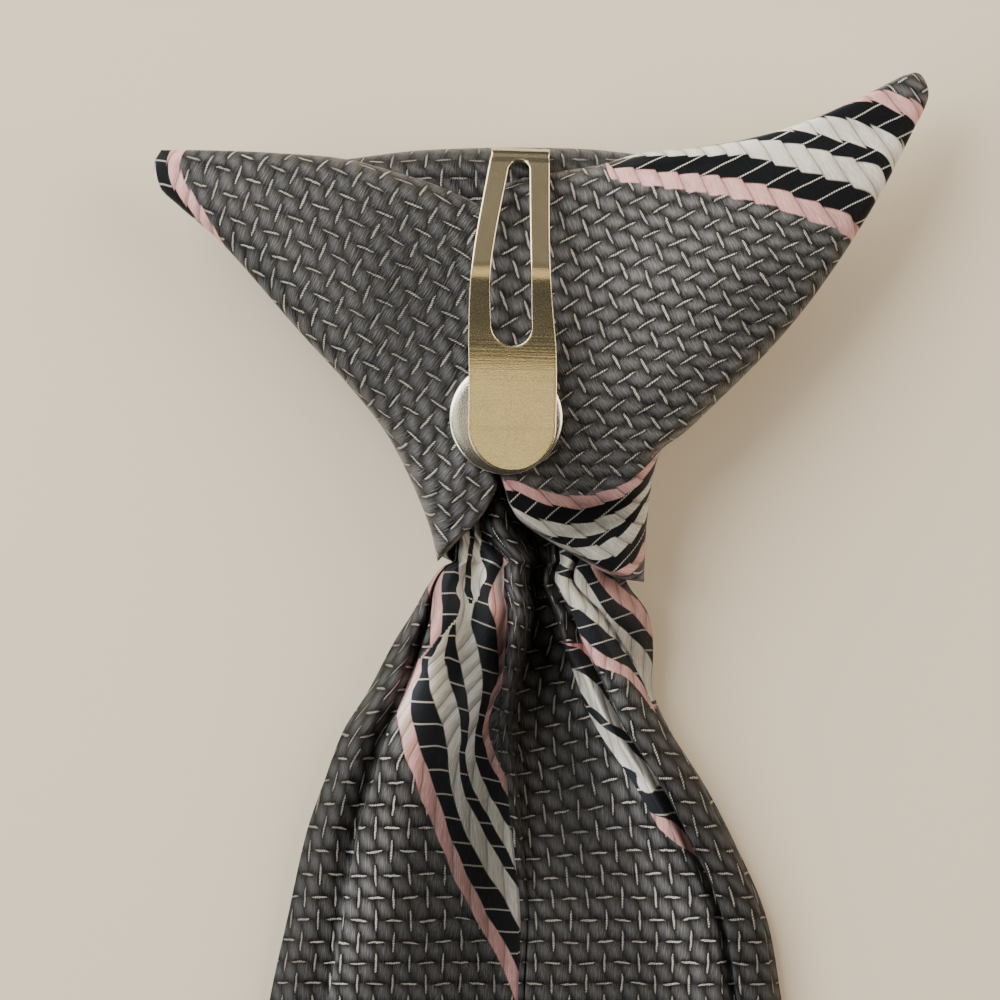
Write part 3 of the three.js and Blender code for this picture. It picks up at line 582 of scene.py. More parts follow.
def wing(table, name, weave, stripe, crease_rows):
    side = table["side"]
    outline = {}
    for edge in ("top", "outer", "bottom", "inner"):
        rows = np.reshape(table[edge], (-1, 2)) / 1000
        outline[edge] = [[side * lerp(NECK_HALF, WING_REACH, r), -d * KNOT_HEIGHT] for r, d in rows]
    outline["inner"] = [[x + side * CLEARANCE / 2, y] for x, y in outline["inner"]]
    outline["top"][0] = outline["inner"][0]
    outline["bottom"][0] = outline["inner"][-1]
    wall = CLOTH_WALL / 2
    radii = {"top": WING_TOP_ROUND, "bottom": wall, "inner": wall, "outer": WING_SIDE_ROUND}

    def heights(x, y):
        upper = crown_height(x, y)
        over_front = split_height(y) + CLEARANCE
        horn = smoothstep(np.abs(x), KNOT_TOP_WIDTH / 2 - KNOT_TOP_SHIFT, WING_REACH * 0.75)
        lower = lerp(over_front, HORN_UNDERSIDE, horn)
        tip = smoothstep(np.abs(x), WING_REACH * 0.6, WING_REACH)
        middle = (HORN_HEIGHT + HORN_UNDERSIDE) / 2
        rim = lerp(lower + CLEARANCE, middle, horn)
        top = lerp(upper, middle + TIP_THICKNESS / 2, tip) + creases(x, y, crease_rows)
        under = lerp(lower, middle - TIP_THICKNESS / 2, tip)
        return rim, top, lerp(under, upper - CLOTH_WALL, hollow(x, y))

    return build(name, padded(outline, radii, heights, 190, weave, stripe))


def knot_front(weave, stripe):
    half, middle, rise = KNOT_TOP_WIDTH / 2, KNOT_TOP_SHIFT, FRONT_OVERHANG
    neck, low = NECK_HALF - CLEARANCE, -KNOT_HEIGHT * 0.94
    left_top, right_top = [middle - half, -rise / 2], [middle + half, -rise / 8]
    left_foot, right_foot = [-neck, low], [neck, low - CLEARANCE]
    outline = {
        "top": [left_top, [middle - half / 2, rise * 0.8], [middle + half / 2, rise], right_top],
        "bottom": [left_foot, [0, -KNOT_HEIGHT * 1.04], right_foot],
        "inner": [left_top, [lerp(middle - half, -neck, 0.55), low * 0.5], left_foot],
        "outer": [right_top, [lerp(middle + half, neck, 0.45), low * 0.5], right_foot],
    }
    side = FRONT_SIDE_ROUND
    radii = {"top": FRONT_DEPTH * 0.45, "bottom": CLOTH_WALL / 2, "inner": side, "outer": side}

    def heights(x, y):
        split = split_height(y)
        return split * 0.55, lerp(split, CLOTH_WALL, hollow(x, y)), np.zeros_like(x)

    return build("knot_front_cloth", padded(outline, radii, heights, 120, weave, stripe))


def blade_section(y):
    """Sides, underside, depth and place down the gather at each y."""
    down = (BLADE_NECK - y) / GATHER_LENGTH
    left, right, bulk = follow(GATHER[:, 0], GATHER[:, 1:], down).T
    neck_half = NECK_HALF - CLOTH_WALL - CLEARANCE
    point_start = TIE_LENGTH - BLADE_WIDTH / 2
    gather_end = GATHER_LENGTH - BLADE_NECK
    flare = np.clip((-y - gather_end) / (point_start - gather_end), 0, 1)
    widened = lerp(GATHER_WIDTH / 2, BLADE_WIDTH / 2, flare)
    point = np.maximum(-y - point_start, 0) / (BLADE_WIDTH / 2)
    centre = BLADE_SHIFT * smoothstep(down, 0, 1)
    left = centre - np.maximum(lerp(neck_half, widened, left) * (1 - point), POINT_WIDTH / 2)
    right = centre + np.maximum(lerp(neck_half, widened, right) * (1 - point), POINT_WIDTH / 2)
    rest = (CLOTH_WALL + CLEARANCE) * (1 - smoothstep(down, 0.06, 0.16))
    roof = crown_height(0, -KNOT_HEIGHT) - CLOTH_WALL - CLEARANCE
    depth = lerp(BLADE_DEPTH, roof - CLOTH_WALL - CLEARANCE, bulk)
    return left, right, rest, depth, down


def arc_from(points, column):
    """Length along each row of points, measured from one column."""
    steps = np.linalg.norm(np.diff(points[..., [0, 2]], axis=1), axis=-1)
    length = np.concatenate([np.zeros((len(points), 1)), np.cumsum(steps, axis=1)], axis=1)
    return length - length[:, column : column + 1]


def blade():
    gather_end = BLADE_NECK - GATHER_LENGTH
    point_start = -(TIE_LENGTH - BLADE_WIDTH / 2)
    y = np.concatenate([
        np.linspace(BLADE_NECK + TUCK, BLADE_NECK, 20)[:-1],
        BLADE_NECK - GATHER_LENGTH * np.linspace(0, 1, 220) ** 1.15,
        np.linspace(gather_end, point_start, 90)[1:],
        np.linspace(point_start, -TIE_LENGTH + POINT_WIDTH / 2, 22)[1:],
    ])
    left, right, rest, depth, down = blade_section(y)
    names = list(FOLDS)
    across = follow(FOLD_STATIONS, np.array([FOLDS[n][0] for n in names]).T / 1000, down)
    height = follow(FOLD_STATIONS, np.array([FOLDS[n][1] for n in names]).T / 100, down)
    per_fold = 12
    at = np.arange((len(names) - 1) * per_fold + 1) / per_fold
    marks = np.arange(len(names))
    left, span, rest, depth = (a[:, None] for a in (left, right - left, rest, depth))
    x = left + span * (follow(marks, across.T, at).T + 1) / 2
    z = rest + depth * follow(marks, height.T, at).T
    upper = np.stack([x, np.broadcast_to(y[:, None], x.shape), z], -1)
    share = (1 - np.cos(np.linspace(0, pi, 91))) / 2
    edge = np.where(share[None] < 0.5, z[:, :1], z[:, -1:])
    inset = np.minimum(share, 1 - share)[None] * span
    under_z = lerp(edge, rest, rounding(inset, np.maximum(edge - rest, 0.05)))
    under_x = left + share[None] * span
    under = np.stack([under_x, np.broadcast_to(y[:, None], under_x.shape), under_z], -1)

    column = {n: k * per_fold for k, n in enumerate(names)}
    seam, fall = column["seam_edge"], -upper[..., 1]
    across_cells = arc_from(upper, seam) / CELL_ACROSS
    along = np.concatenate([[0], np.cumsum(np.abs(np.diff(y)))]) / CELL_ALONG
    along = np.broadcast_to(along[:, None], across_cells.shape)
    order = np.arange(x.shape[1])
    pull = np.where(order < column["seam_foot"], PULL_LEFT, PULL_RIGHT) * (1 - smoothstep(fall, *PULL_ENDS))
    along = along + pull * np.clip(x - x[:, seam : seam + 1], *PULL_REACH)
    turned = np.clip(fall - TURN_START, 0, TURN_LENGTH) * TURN / CELL_ACROSS
    across_cells = across_cells + np.where(order < column["roll_left"], turned, 0)
    cells = np.stack([across_cells + 0.3, along], -1)

    place = np.full(x.shape, PLAIN)
    below_neck = upper[..., 1] < NECK_LINE_AT[1] + NECK_LINE_SLOPE * (x - NECK_LINE_AT[0])
    fields = [stripes_from(table)(x, upper[..., 1]) for table in (LEFT_FLAP_STRIPES, LEFT_NECK_STRIPES)]
    flap = slice(0, column["roll_left"] + 1)
    place[:, flap] = np.abs(np.where(below_neck, *fields))[:, flap]
    pleats = ("inner_pleat_foot", "middle_pleat_foot", "outer_pleat_foot", "right_edge")
    pleat_stripes = (INNER_PLEAT_STRIPES, MIDDLE_PLEAT_STRIPES, OUTER_PLEAT_STRIPES)
    for first, last, table in zip(pleats, pleats[1:], pleat_stripes):
        part = slice(column[first], column[last] + 1)
        place[:, part] = np.abs(stripes_from(table)(x[:, part], upper[:, part, 1]))
    inner = slice(column["inner_pleat_foot"], column["middle_pleat_foot"] + 1)
    place[:, inner] = lerp(PLAIN, place, smoothstep(fall, 61, 63))[:, inner]
    for name, stripe_end in zip(pleats, PLEAT_STRIPE_ENDS):
        ended = smoothstep(fall, stripe_end - 1.5, stripe_end + 1.5)
        place[:, column[name] :] = lerp(place, PLAIN, ended)[:, column[name] :]
    place = lerp(place, PLAIN, smoothstep(fall, 108, 130))

    grids = []
    edges = ("left_edge", "left_roll_foot", "roll_left", "seam_foot", "seam_edge", *pleats)
    for first, last in zip(edges[:-1], edges[1:]):
        part = slice(column[first], column[last] + 1)
        values = place[:, part].copy()
        if first in ("roll_left", "seam_foot", "seam_edge"):
            values[:] = PLAIN
        grids.append((upper[:, part], cells[:, part], values))
    front = under[..., 0] / CELL_ACROSS
    back = np.broadcast_to((y / CELL_ALONG)[:, None], front.shape)
    slant = front - back * 0.5
    repeated = np.abs(((slant / FRONT_REPEAT) % 1) - 0.5) * FRONT_REPEAT / FRONT_HALF_GROUP
    grids.append((under, np.stack([front, back], -1), repeated))
    for row in (0, -1):
        lid = np.stack([upper[row][::per_fold], under[row][np.linspace(0, 90, len(names)).astype(int)]])
        lid_cells = np.stack([lid[..., 0], lid[..., 2]], -1) / CELL_ACROSS
        grids.append((lid, lid_cells, np.full(lid.shape[:2], PLAIN)))
    return build("blade_cloth", grids)


class Shader:
    """Short calls for a material's nodes. An argument is a number or another node's output."""

    def __init__(self, name):
        self.material = bpy.data.materials.new(name)
        self.material.use_nodes = True
        self.tree = self.material.node_tree
        self.bsdf = self.tree.nodes["Principled BSDF"]

    def node(self, kind, **settings):
        node = self.tree.nodes.new("ShaderNode" + kind)
        for key, value in settings.items():
            setattr(node, key, value)
        return node

    def put(self, socket, value):
        if isinstance(value, bpy.types.NodeSocket):
            self.tree.links.new(value, socket)
        else:
            socket.default_value = value

    def set(self, name, value):
        self.put(self.bsdf.inputs[name], value)

    def math(self, operation, *values):
        node = self.node("Math", operation=operation)
        for socket, value in zip(node.inputs, values):
            self.put(socket, value)
        return node.outputs[0]

    def sub(self, a, b):
        return self.math("SUBTRACT", a, b)

    def absolute(self, a):
        return self.math("ABSOLUTE", a)

    def centred(self, a):
        return self.sub(self.math("FRACT", a), 0.5)

    def ripple(self, a):
        return self.absolute(self.math("SINE", a))

    def add(self, *values):
        total = values[0]
        for value in values[1:]:
            total = self.math("ADD", total, value)
        return total

    def mul(self, *values):
        total = values[0]
        for value in values[1:]:
            total = self.math("MULTIPLY", total, value)
        return total

    def step(self, value, low, high):
        """0 below low and 1 above high, or the other way round when low is the larger."""
        node = self.node("MapRange", interpolation_type="SMOOTHSTEP")
        ends = (low, high, 0, 1) if low < high else (high, low, 1, 0)
        for name, number in zip(("From Min", "From Max", "To Min", "To Max"), ends):
            node.inputs[name].default_value = number
        self.put(node.inputs["Value"], value)
        return node.outputs["Result"]

    def between(self, kind, inputs, output, values):
        node = self.node("Mix", data_type=kind)
        for index, value in zip(inputs, values):
            self.put(node.inputs[index], value)
        return node.outputs[output]

    def mix(self, share, a, b):
        """From colour a to colour b."""
        return self.between("RGBA", (0, 6, 7), 2, (share, a, b))

    def scaled(self, colour, share, most):
        """A colour times a share, with no channel above the most that cloth reflects."""
        capped = self.node("VectorMath", operation="MINIMUM")
        self.put(capped.inputs[0], self.shade(colour, share))
        capped.inputs[1].default_value = (most, most, most)
        return capped.outputs[0]

    def blend(self, share, a, b):
        """From number a to number b."""
        return self.between("FLOAT", (0, 2, 3), 0, (share, a, b))

    def uv(self, layer):
        separate = self.node("SeparateXYZ")
        self.tree.links.new(self.node("UVMap", uv_map=layer).outputs[0], separate.inputs[0])
        return separate.outputs[0], separate.outputs[1]

    def noise(self, place, scale, detail=2.0):
        node = self.node("TexNoise")
        self.put(node.inputs["Vector"], self.combine(*place))
        node.inputs["Scale"].default_value = scale
        node.inputs["Detail"].default_value = detail
        return node.outputs[0]

    def chance(self, place):
        node = self.node("TexWhiteNoise")
        self.put(node.inputs["Vector"], self.combine(*place))
        return node.outputs["Value"]

    def combine(self, x, y, z=0.0):
        node = self.node("CombineXYZ")
        for socket, value in zip(node.inputs, (x, y, z)):
            self.put(socket, value)
        return node.outputs[0]

    def shade(self, colour, factor):
        node = self.node("VectorMath", operation="SCALE")
        self.put(node.inputs[0], colour)
        self.put(node.inputs["Scale"], factor)
        return node.outputs[0]

    def bump(self, height, distance):
        node = self.node("Bump")
        node.inputs["Strength"].default_value = 1.0
        node.inputs["Distance"].default_value = distance
        self.put(node.inputs["Height"], height)
        self.tree.links.new(node.outputs[0], self.bsdf.inputs["Normal"])


def cloth_material(name, painted_ground_light, painted_silver_light, painted_stripe_light, slip_share, sheen, gloss):
    """Satin with silver dashes and a group of stripes. The painted light shares dim or brighten the ground,
    the silver and the stripes: painted light and shade, which makes each piece a brighter or darker copy of
    one cloth.
    """
    s = Shader(name)
    h, v = s.uv("Weave")
    # The Stripe map's second place is the painted light and shade.
    place, painted_light_and_shade = s.uv("Stripe")
    drift = s.noise((h, v), 0.3)
    drift_along = s.noise((h, v, 9.0), 0.3)
    h = s.add(h, s.mul(s.sub(drift, 0.5), 0.35))
    v = s.add(v, s.mul(s.sub(drift_along, 0.5), 0.35))
    cell_h, cell_v = s.math("FLOOR", h), s.math("FLOOR", v)
    luck, tilt = s.chance((cell_h, cell_v)), s.chance((cell_h, cell_v, 5.0))
    fh, fv = s.centred(h), s.centred(v)
    parity = s.math("FLOORED_MODULO", s.add(cell_h, cell_v), 2.0)
    tilted = s.mul(s.sub(tilt, 0.5), 0.16)
    waver = s.mul(s.sub(s.noise((h, v, 2.0), 3.0), 0.5), 0.11)
    ah = s.absolute(s.add(fh, s.mul(tilted, fv), waver))
    av = s.absolute(s.add(fv, s.mul(tilted, fh), waver))

    # Silver dashes, twisted from fine thread and thinner at their ends
    thin_across = s.add(av, s.mul(s.math("POWER", ah, 4.0), 0.7))
    thin_along = s.add(ah, s.mul(s.math("POWER", av, 4.0), 0.8))
    across = s.mul(s.step(thin_across, 0.066, 0.026), s.step(ah, 0.5, 0.45), s.sub(1.0, parity))
    along = s.mul(s.step(thin_along, 0.078, 0.032), s.step(av, 0.5, 0.45), parity)
    bead_at = s.blend(parity, s.add(s.mul(fh, 7.3), s.mul(fv, 6.0)), s.add(s.mul(fv, 8.6), s.mul(fh, 6.0)))
    bead = s.ripple(s.mul(bead_at, pi))
    dash = s.mul(s.math("MAXIMUM", across, along), s.add(0.2, s.mul(s.step(bead, 0.12, 0.55), 0.8)))
    shine = s.mul(painted_silver_light, s.add(0.04, s.mul(bead, 0.95), s.mul(luck, 0.4)))

    # Satin floats between the dashes: leaves whose fibres run along the cloth. Their tone is painted sheen,
    # each leaf lighter towards one side, and painted shade darkens the ground beside each dash.
    rh, rv = s.centred(s.add(h, 0.5)), s.centred(s.add(v, 0.5))
    lean = s.sub(rh, s.mul(rv, 0.55))
    leaf = s.math("COSINE", s.mul(lean, pi * 0.95))
    leaf = s.math("MAXIMUM", s.mul(leaf, s.math("COSINE", s.mul(rv, pi * 0.9))), 0.0)
    thread = s.noise((s.mul(h, 11.0), s.mul(v, 1.6)), 1.0, 3.0)
    strand = s.noise((s.mul(h, 5.0), s.mul(v, 1.1), 3.0), 1.0)
    fibre = s.ripple(s.add(s.mul(h, pi * 8.0), s.mul(v, 2.2), s.mul(strand, 9.0)))
    fibre = s.mul(fibre, s.step(thread, 0.3, 0.7))
    lit = s.mul(s.math("POWER", leaf, 1.4), s.add(1.05, s.mul(rv, 1.0)))
    painted_fibre_sheen = s.mul(fibre, s.add(0.25, s.mul(leaf, 1.35)))
    tone = s.add(0.02, s.mul(lit, 1.25), painted_fibre_sheen, s.mul(thread, 0.25))
    painted_dash_shade = s.blend(parity, s.step(av, 0.24, 0.06), s.step(ah, 0.24, 0.06))
    tone = s.mul(tone, s.sub(1.0, s.mul(painted_dash_shade, 0.68)))
    ground = s.shade([c * painted_ground_light for c in GROUND], tone)
    ground = s.mix(dash, ground, s.shade(SILVER, shine))

    # Ribbed stripes, whose edges step a little at each rib. Their colour carries painted shade: each rib is
    # lighter along its middle and darker in the hollow between ribs.
    d = s.absolute(s.add(place, s.mul(fh, slip_share)))
    rib = s.math("SINE", s.mul(s.math("FRACT", h), pi))
    painted_groove_shade = s.step(rib, 0.26, 0.02)
    cross_bead = s.ripple(s.mul(s.add(s.mul(fh, 7.0), s.mul(fv, 6.0)), pi))
    twist = s.step(cross_bead, 0.12, 0.55)
    line = s.mul(s.step(s.absolute(fv), 0.444, 0.476), s.add(0.25, s.mul(twist, 0.75)))
    satin = s.add(0.64, s.mul(fibre, 0.36), s.mul(thread, 0.4))
    soft = s.mul(painted_stripe_light, s.add(0.78, s.mul(rib, 0.26)))
    ribbed = s.mul(satin, soft, s.sub(1.0, s.mul(painted_groove_shade, 0.42)))
    white, pink = s.shade(WHITE, ribbed), s.shade(PINK, ribbed)
    black = s.shade(BLACK, s.add(0.6, s.mul(satin, 0.5)))
    black = s.mix(line, black, s.shade(SILVER, s.mul(painted_silver_light, s.add(0.1, s.mul(cross_bead, 0.95)))))
    in_stripe = s.step(d, 1.015, 0.985)
    first, second, third = ((end - STRIPE_BLUR, end + STRIPE_BLUR) for end in STRIPE_ENDS)
    colour = s.mix(s.step(d, *first), black, white)
    colour = s.mix(s.step(d, *second), colour, black)
    colour = s.mix(s.step(d, *third), colour, pink)
    # Painted light and shade: the colour is scaled up where light is painted and down where shade is painted,
    # capped at 0.9.
    colour = s.scaled(s.mix(in_stripe, ground, colour), painted_light_and_shade, 0.9)

    is_white = s.mul(s.step(d, *first), s.step(d, *second[::-1]))
    light_stripe = s.add(is_white, s.mul(s.step(d, *third), in_stripe))
    black_height = s.add(0.45, s.mul(line, 0.25), s.mul(fibre, 0.06))
    rib_height = s.add(s.mul(rib, 0.5), s.mul(fibre, 0.1))
    ground_height = s.add(s.mul(leaf, 0.8), s.mul(fibre, 0.2), s.mul(dash, s.add(0.25, s.mul(bead, 0.3))))
    height = s.blend(in_stripe, ground_height, s.blend(light_stripe, black_height, rib_height))

    s.set("Base Color", colour)
    s.set("Roughness", s.blend(in_stripe, s.blend(dash, 0.42, 0.38), 0.42))
    striped = s.blend(light_stripe, 0.08, 0.4)
    s.set("Specular IOR Level", s.blend(in_stripe, s.blend(dash, gloss, 0.6), striped))
    s.set("Sheen Weight", sheen)
    s.set("Sheen Roughness", 0.4)
    s.set("Sheen Tint", SHEEN_TINT)
    s.bump(height, 0.0004)
    return s.material


def metal_material(name, colour, roughness, striated):
    """Plated metal with fine wear, and for the clip with lines and rubbed specks across its tongue."""
    s = Shader(name)
    x, y = s.uv("Weave")
    grain = s.noise((s.mul(x, 2.0), s.mul(y, 2.0)), 3.0, 4.0)
    wear = s.noise((s.mul(x, 0.35), s.mul(y, 0.35)), 1.0, 3.0)
    blotch = s.noise((s.mul(x, 4.0), s.mul(y, 4.0)), 1.0, 2.0)
    worn = s.add(0.78, s.mul(wear, 0.2), s.mul(blotch, 0.2))
    rough = s.add(roughness, s.mul(s.sub(grain, 0.5), 0.2))
    height = s.mul(grain, 0.8)
    if striated:
        lines = s.noise((s.mul(x, 0.06), s.mul(y, 3.4)), 1.0, 2.0)
        band = s.mul(s.step(y, -30.5, -28.5), s.step(y, -22.5, -24.0))
        height = s.add(height, s.mul(lines, band, 1.3))
        rubbed = s.mul(s.step(y, -27.0, -24.5), s.step(y, -16.4, -17.6))
        speck = s.noise((s.mul(x, 7.0), s.mul(y, 5.0)), 1.0, 4.0)
        worn = s.add(worn, s.mul(rubbed, s.step(speck, 0.35, 0.65), -0.4))
        rough = s.add(roughness, s.mul(grain, 0.1), s.mul(rubbed, 0.07))
    s.set("Base Color", s.shade(colour, worn))
    s.set("Roughness", rough)
    s.set("Metallic", 1)
    s.bump(height, 0.00002)
    return s.material


def clip_rows():
    """The clip's centre line from its hidden leg to its rounded end: y, z, width."""
    pad_height = CROWN_HEIGHT + CLEARANCE + DISC_RIM + DISC_DOME + CLEARANCE + CLIP_SHEET / 2
    leg_height = FRONT_DEPTH - CLEARANCE - CLIP_SHEET / 2 - CLEARANCE
    top_height = CROWN_HEIGHT + CLEARANCE + CLIP_SHEET / 2
    crest_height = CROWN_HEIGHT + CLIP_RISE + CLIP_SHEET / 2
    pad_start = CLIP_LENGTH - CLIP_PAD_LENGTH
    rows = [[-y, leg_height] for y in np.linspace(CLIP_LEG, CLIP_BEND + 0.2, LEG_ROWS)]
    for z, start in ((leg_height + CLIP_BEND, -pi / 2), (top_height - CLIP_BEND, 0)):
        for angle in np.linspace(start, start + pi / 2, BEND_ROWS):
            rows.append([-CLIP_BEND + CLIP_BEND * cos(angle), z + CLIP_BEND * sin(angle)])
    down = np.linspace(2 * CLIP_BEND, CLIP_LENGTH - CLIP_WIDTH / 2, 150)
    knots = [0, CLIP_CREST * 0.45, CLIP_CREST * 0.93, CLIP_CREST, CLIP_CREST * 1.08]
    levels = [0, 0.47, 0.965, 1, 0.97]
    for share in (0.25, 0.5, 0.75, 1):
        knots.append(lerp(CLIP_CREST * 1.08, pad_start, share))
        levels.append((1 - smoothstep(share, -0.2, 1)) * 0.97)
    knots.append(CLIP_LENGTH)
    levels.append(0)
    for y, level in zip(down, follow(knots, levels, down)):
        base = top_height if y < CLIP_CREST else pad_height
        rows.append([-y, lerp(base, crest_height, level)])
    radius = CLIP_WIDTH / 2
    for angle in np.linspace(0, pi / 2, 24)[1:]:
        rows.append([-(CLIP_LENGTH - radius) - radius * sin(angle), pad_height])
    rows = np.array(rows)
    widths = [CLIP_TOP_WIDTH, CLIP_WIDTH * 0.9, CLIP_WIDTH]
    width = follow([0, CLIP_CREST, CLIP_LENGTH * 0.6], widths, -rows[:, 0])
    width[: TONGUE_ROW + 1] = CLIP_TOP_WIDTH
    end = np.clip((-rows[:, 0] - (CLIP_LENGTH - radius)) / radius, 0, 1)
    width = width * np.sqrt(np.maximum(1 - end * end, 0))
    return np.column_stack([rows, width])


def slot_half(y, tongue):
    """Half the slot's width at each y of the tongue, with rounded ends."""
    r0, r1 = SLOT_TOP_WIDTH / 2, SLOT_WIDTH / 2
    down = -y
    top, bottom = SLOT_START, SLOT_START + SLOT_LENGTH
    half = follow([top + r0, CLIP_CREST, bottom - r1], [r0, r1 * 0.985, r1], down)
    upper_end = np.sqrt(np.maximum(r0**2 - np.maximum(top + r0 - down, 0) ** 2, 0))
    lower_end = np.sqrt(np.maximum(r1**2 - np.maximum(down - bottom + r1, 0) ** 2, 0))
    half = np.where(down < top + r0, upper_end, np.where(down > bottom - r1, lower_end, half))
    return np.where(tongue & (down > top) & (down < bottom), half, 0)


def clip():
    y, z, width = clip_rows().T
    first, count, far = TONGUE_ROW, len(y), 9
    slot_end, radius = SLOT_START + SLOT_LENGTH, CLIP_WIDTH / 2
    steps = np.array([0, 0.04, 0.12, 0.25, 0.45, 0.7, 1.1, 1.6])
    beyond = steps[1:4]
    ends = np.concatenate([SLOT_START + steps, slot_end - steps, SLOT_START - beyond, slot_end + beyond])
    order = np.arange(count, dtype=float)
    order = np.sort(np.concatenate([order, np.interp(ends, -y[first:], order[first:])]))
    y, z, width = (np.interp(order, np.arange(count), c) for c in (y, z, width))
    along = np.gradient(np.stack([y, z], -1), axis=0)
    along /= np.linalg.norm(along, axis=-1)[:, None]
    slot, half = slot_half(y, order >= first), width / 2
    lean = np.where(order < first, 0, follow([0, CLIP_CREST, CLIP_LENGTH * 0.7, CLIP_LENGTH], CLIP_LEAN, -y))

    near = np.array([0, 0.1, 0.3, 0.55, 0.8, 1])
    inner, outer, row = slot[:, None], half[:, None], order[:, None]
    reach = np.minimum(CLIP_ROUND, (outer - inner) / 2)
    middle = lerp(inner + reach, outer - reach, np.linspace(0, 1, 14)[1:-1])
    x = np.concatenate([inner + near * reach, middle, outer - near[::-1] * reach], 1)
    down = np.broadcast_to(-y[:, None], x.shape)
    r0, r1 = SLOT_TOP_WIDTH / 2, SLOT_WIDTH / 2
    to_slot = x - inner
    to_slot = np.where(down < SLOT_START + r0, np.hypot(x, SLOT_START + r0 - down) - r0, to_slot)
    to_slot = np.where(down > slot_end - r1, np.hypot(x, down - slot_end + r1) - r1, to_slot)
    to_slot = np.where(row < first, far, to_slot)
    to_edge = outer - x
    at_end = (row > first) & (down > CLIP_LENGTH - radius)
    to_edge = np.where(at_end, radius - np.hypot(x, down - CLIP_LENGTH + radius), to_edge)
    gap = CLIP_ROUND - np.clip(np.minimum(to_slot, to_edge), 0, CLIP_ROUND)
    thick = CLIP_SHEET / 2 - CLIP_ROUND + np.sqrt(CLIP_ROUND**2 - gap**2)

    grids = []
    for side in (-1, 1):
        faces = []
        for face in (thick, -thick):
            across, rise = y[:, None] + face * along[:, 1:], z[:, None] - face * along[:, :1]
            faces.append(np.stack([lean[:, None] + side * x, across, rise], -1))
        open_rows = np.flatnonzero(slot > 0)
        part = slice(open_rows[0] - 1, open_rows[-1] + 2)
        wall = np.stack([faces[0][part, 0], faces[1][part, 0]], 1)
        around, lid = np.concatenate([faces[0], faces[1][:, ::-1]], 1), np.stack([faces[0][0], faces[1][0]])
        for grid in (around, wall, lid):
            grids.append((place_as_clip(grid), grid[..., :2], np.zeros(grid.shape[:2])))
    return build("spring_clip", grids)


def place_as_clip(grid):
    turn = radians(CLIP_TILT)
    x, y = grid[..., 0], grid[..., 1]
    return np.stack(
        [CLIP_CENTRE + x * cos(turn) - y * sin(turn), x * sin(turn) + y * cos(turn), grid[..., 2]], -1
    )


def disc():
    radius, foot = DISC_DIAMETER / 2, CROWN_HEIGHT + CLEARANCE
    bevel, top = radius - DISC_BEVEL, foot + DISC_RIM
    profile = np.array([
        [0, foot], [radius - 1.2, foot], [bevel, foot + 0.02], [radius - 0.1, foot + DISC_RIM * 0.25],
        [radius, foot + DISC_RIM / 2], [radius - 0.12, foot + DISC_RIM * 0.8], [bevel, top],
        [radius * 0.8, top + DISC_DOME * 0.4], [radius * 0.5, top + DISC_DOME * 0.8], [0, top + DISC_DOME],
    ])
    fine = follow(np.arange(len(profile)), profile, np.linspace(0, len(profile) - 1, 60))
    fine[:, 0] = np.clip(fine[:, 0], 0, radius)
    angle = np.linspace(0, 2 * pi, 97)
    grid = np.stack([
        DISC_CENTRE[0] + np.outer(np.cos(angle), fine[:, 0]),
        DISC_CENTRE[1] + np.outer(np.sin(angle), fine[:, 0]),
        np.broadcast_to(fine[:, 1], (97, 60)),
    ], -1)
    return build("pressure_disc", [(grid, grid[..., :2], np.zeros(grid.shape[:2]))])


def area_light(name, place, size, power, colour):
    data = bpy.data.lights.new(name, "AREA")
    data.shape = "DISK"
    data.size = size
    data.energy = power
    data.color = colour
    light = bpy.data.objects.new(name, data)
    bpy.context.scene.collection.objects.link(light)
    back = np.array(place) - np.array(KNOT)
    back /= np.linalg.norm(back)
    side = np.cross((0, 1, 0.01), back)
    side /= np.linalg.norm(side)
    turn = Matrix(np.column_stack([side, np.cross(back, side), back]).tolist())
    light.matrix_world = Matrix.Translation(place) @ turn.to_4x4()


def stage():
    bpy.ops.mesh.primitive_plane_add(size=8, location=(0, 0, -0.0003))
    floor = bpy.context.object
    floor.name = "floor"
    s = Shader("floor")
    s.set("Base Color", FLOOR)
    s.set("Roughness", 0.75)
    floor.data.materials.append(s.material)
    world = bpy.data.worlds.new("room")
    bpy.context.scene.world = world
    world.use_nodes = True
    background = world.node_tree.nodes["Background"]
    background.inputs[0].default_value = ROOM
    background.inputs[1].default_value = 1.0
    for row in LIGHTS:
        area_light(*row)


def camera():
    data = bpy.data.cameras.new("main")
    view = bpy.data.objects.new("main", data)
    bpy.context.scene.collection.objects.link(view)
    view.location = ((CAMERA_AT[0] + SHIFT[0]) * MM, (CAMERA_AT[1] + SHIFT[1]) * MM, CAMERA_HEIGHT)
    data.sensor_width = SENSOR
    data.lens = SENSOR * (CAMERA_HEIGHT - VIEW_LEVEL) / VIEW_WIDTH
    data.clip_start = 0.01
    bpy.context.scene.camera = view


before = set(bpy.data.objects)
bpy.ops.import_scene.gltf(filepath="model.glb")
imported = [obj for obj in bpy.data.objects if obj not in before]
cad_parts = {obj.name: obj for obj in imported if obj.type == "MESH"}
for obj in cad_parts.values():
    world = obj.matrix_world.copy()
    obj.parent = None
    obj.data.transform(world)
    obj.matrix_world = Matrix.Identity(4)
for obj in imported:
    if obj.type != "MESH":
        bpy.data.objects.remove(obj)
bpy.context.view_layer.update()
camera()
stage()

left_tip = stripes_from(LEFT_TIP_STRIPES)
right_tip = stripes_from(RIGHT_TIP_STRIPES)
band = stripes_from(NECK_BAND_STRIPES)


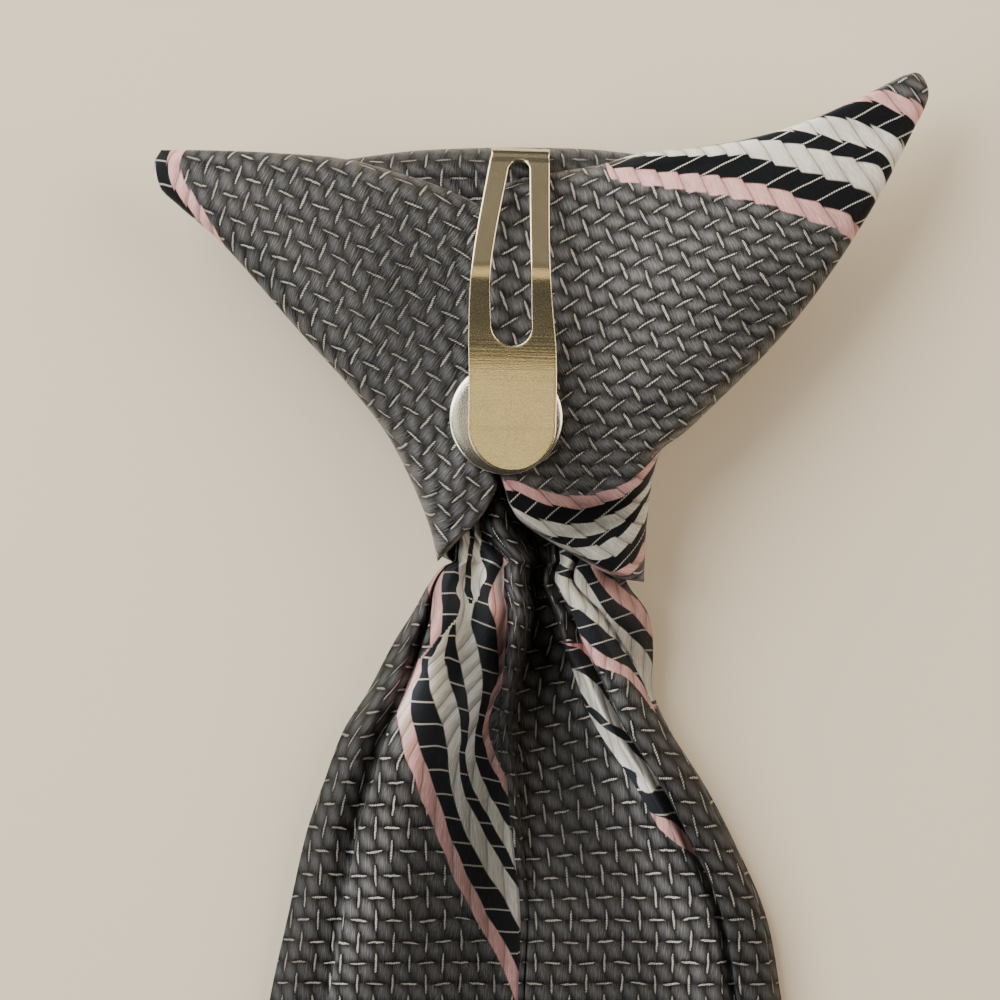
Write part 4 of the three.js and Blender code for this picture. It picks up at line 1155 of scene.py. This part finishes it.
def right_stripes(x, y):
    """The horn's stripes end towards the neck and low down, and the neck's band ends higher up."""
    tip = np.abs(right_tip(x, y)) + 4 * (1 - smoothstep(x, 4, 9)) + 4 * smoothstep(-y, 12, 16)
    low = np.abs(band(x, y)) + 4 * (1 - smoothstep(-y, 34, 38))
    return np.minimum(np.minimum(tip, low), 3)


def left_stripes(x, y):
    """Only the horn's tip has stripes."""
    return np.where(x < -36, np.clip(np.abs(left_tip(x, y)), 0, 3), PLAIN)


def square_weave(x, y):
    return np.stack([x / CELL_ACROSS + 0.2, -y / CELL_ALONG + 0.35], -1)


def no_stripes(x, y):
    return np.full(np.shape(x), PLAIN)


left_weave = weave_from(LEFT_WEAVE, LEFT_ANCHOR)
right_weave = weave_from(RIGHT_WEAVE, RIGHT_ANCHOR)
# The three numbers after each name are painted light and shade: they brighten or dim the ground, silver and
# stripes, so the wings and the blade are brighter and darker copies of one cloth.
left_cloth = cloth_material("left_wing_weave", 0.86, 1.0, 1.0, 0.045, sheen=0.2, gloss=0.3)
right_cloth = cloth_material("right_wing_weave", 1.3, 1.15, 1.0, 0.045, sheen=0.2, gloss=0.3)
blade_cloth = cloth_material("blade_weave", 0.48, 0.52, 0.42, 0.0, sheen=0.06, gloss=0.18)
left_wing = wing(LEFT_WING, "left_wing_cloth", left_weave, left_stripes, LEFT_CREASES)
right_wing = wing(RIGHT_WING, "right_wing_cloth", right_weave, right_stripes, RIGHT_CREASES)
cloth_pieces = [
    ("left_wing", left_wing, left_cloth, 0.6),
    ("right_wing", right_wing, right_cloth, 0.6),
    ("knot_front", knot_front(square_weave, no_stripes), left_cloth, 0.6),
    ("blade", blade(), blade_cloth, 0.3),
]
for node, obj, material, fill in cloth_pieces:
    obj.data.materials.append(material)
    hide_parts(node)
    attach(obj, "root")

metal_pieces = [
    ("clip", clip(), "clip_metal", metal_material("clip_metal", CLIP_METAL, 0.15, True)),
    ("clip_disc", disc(), "disc_metal", metal_material("disc_metal", DISC_METAL, 0.2, False)),
]
for node, obj, slot, material in metal_pieces:
    obj.data.materials.append(material)
    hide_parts(node)
    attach(obj, "root")
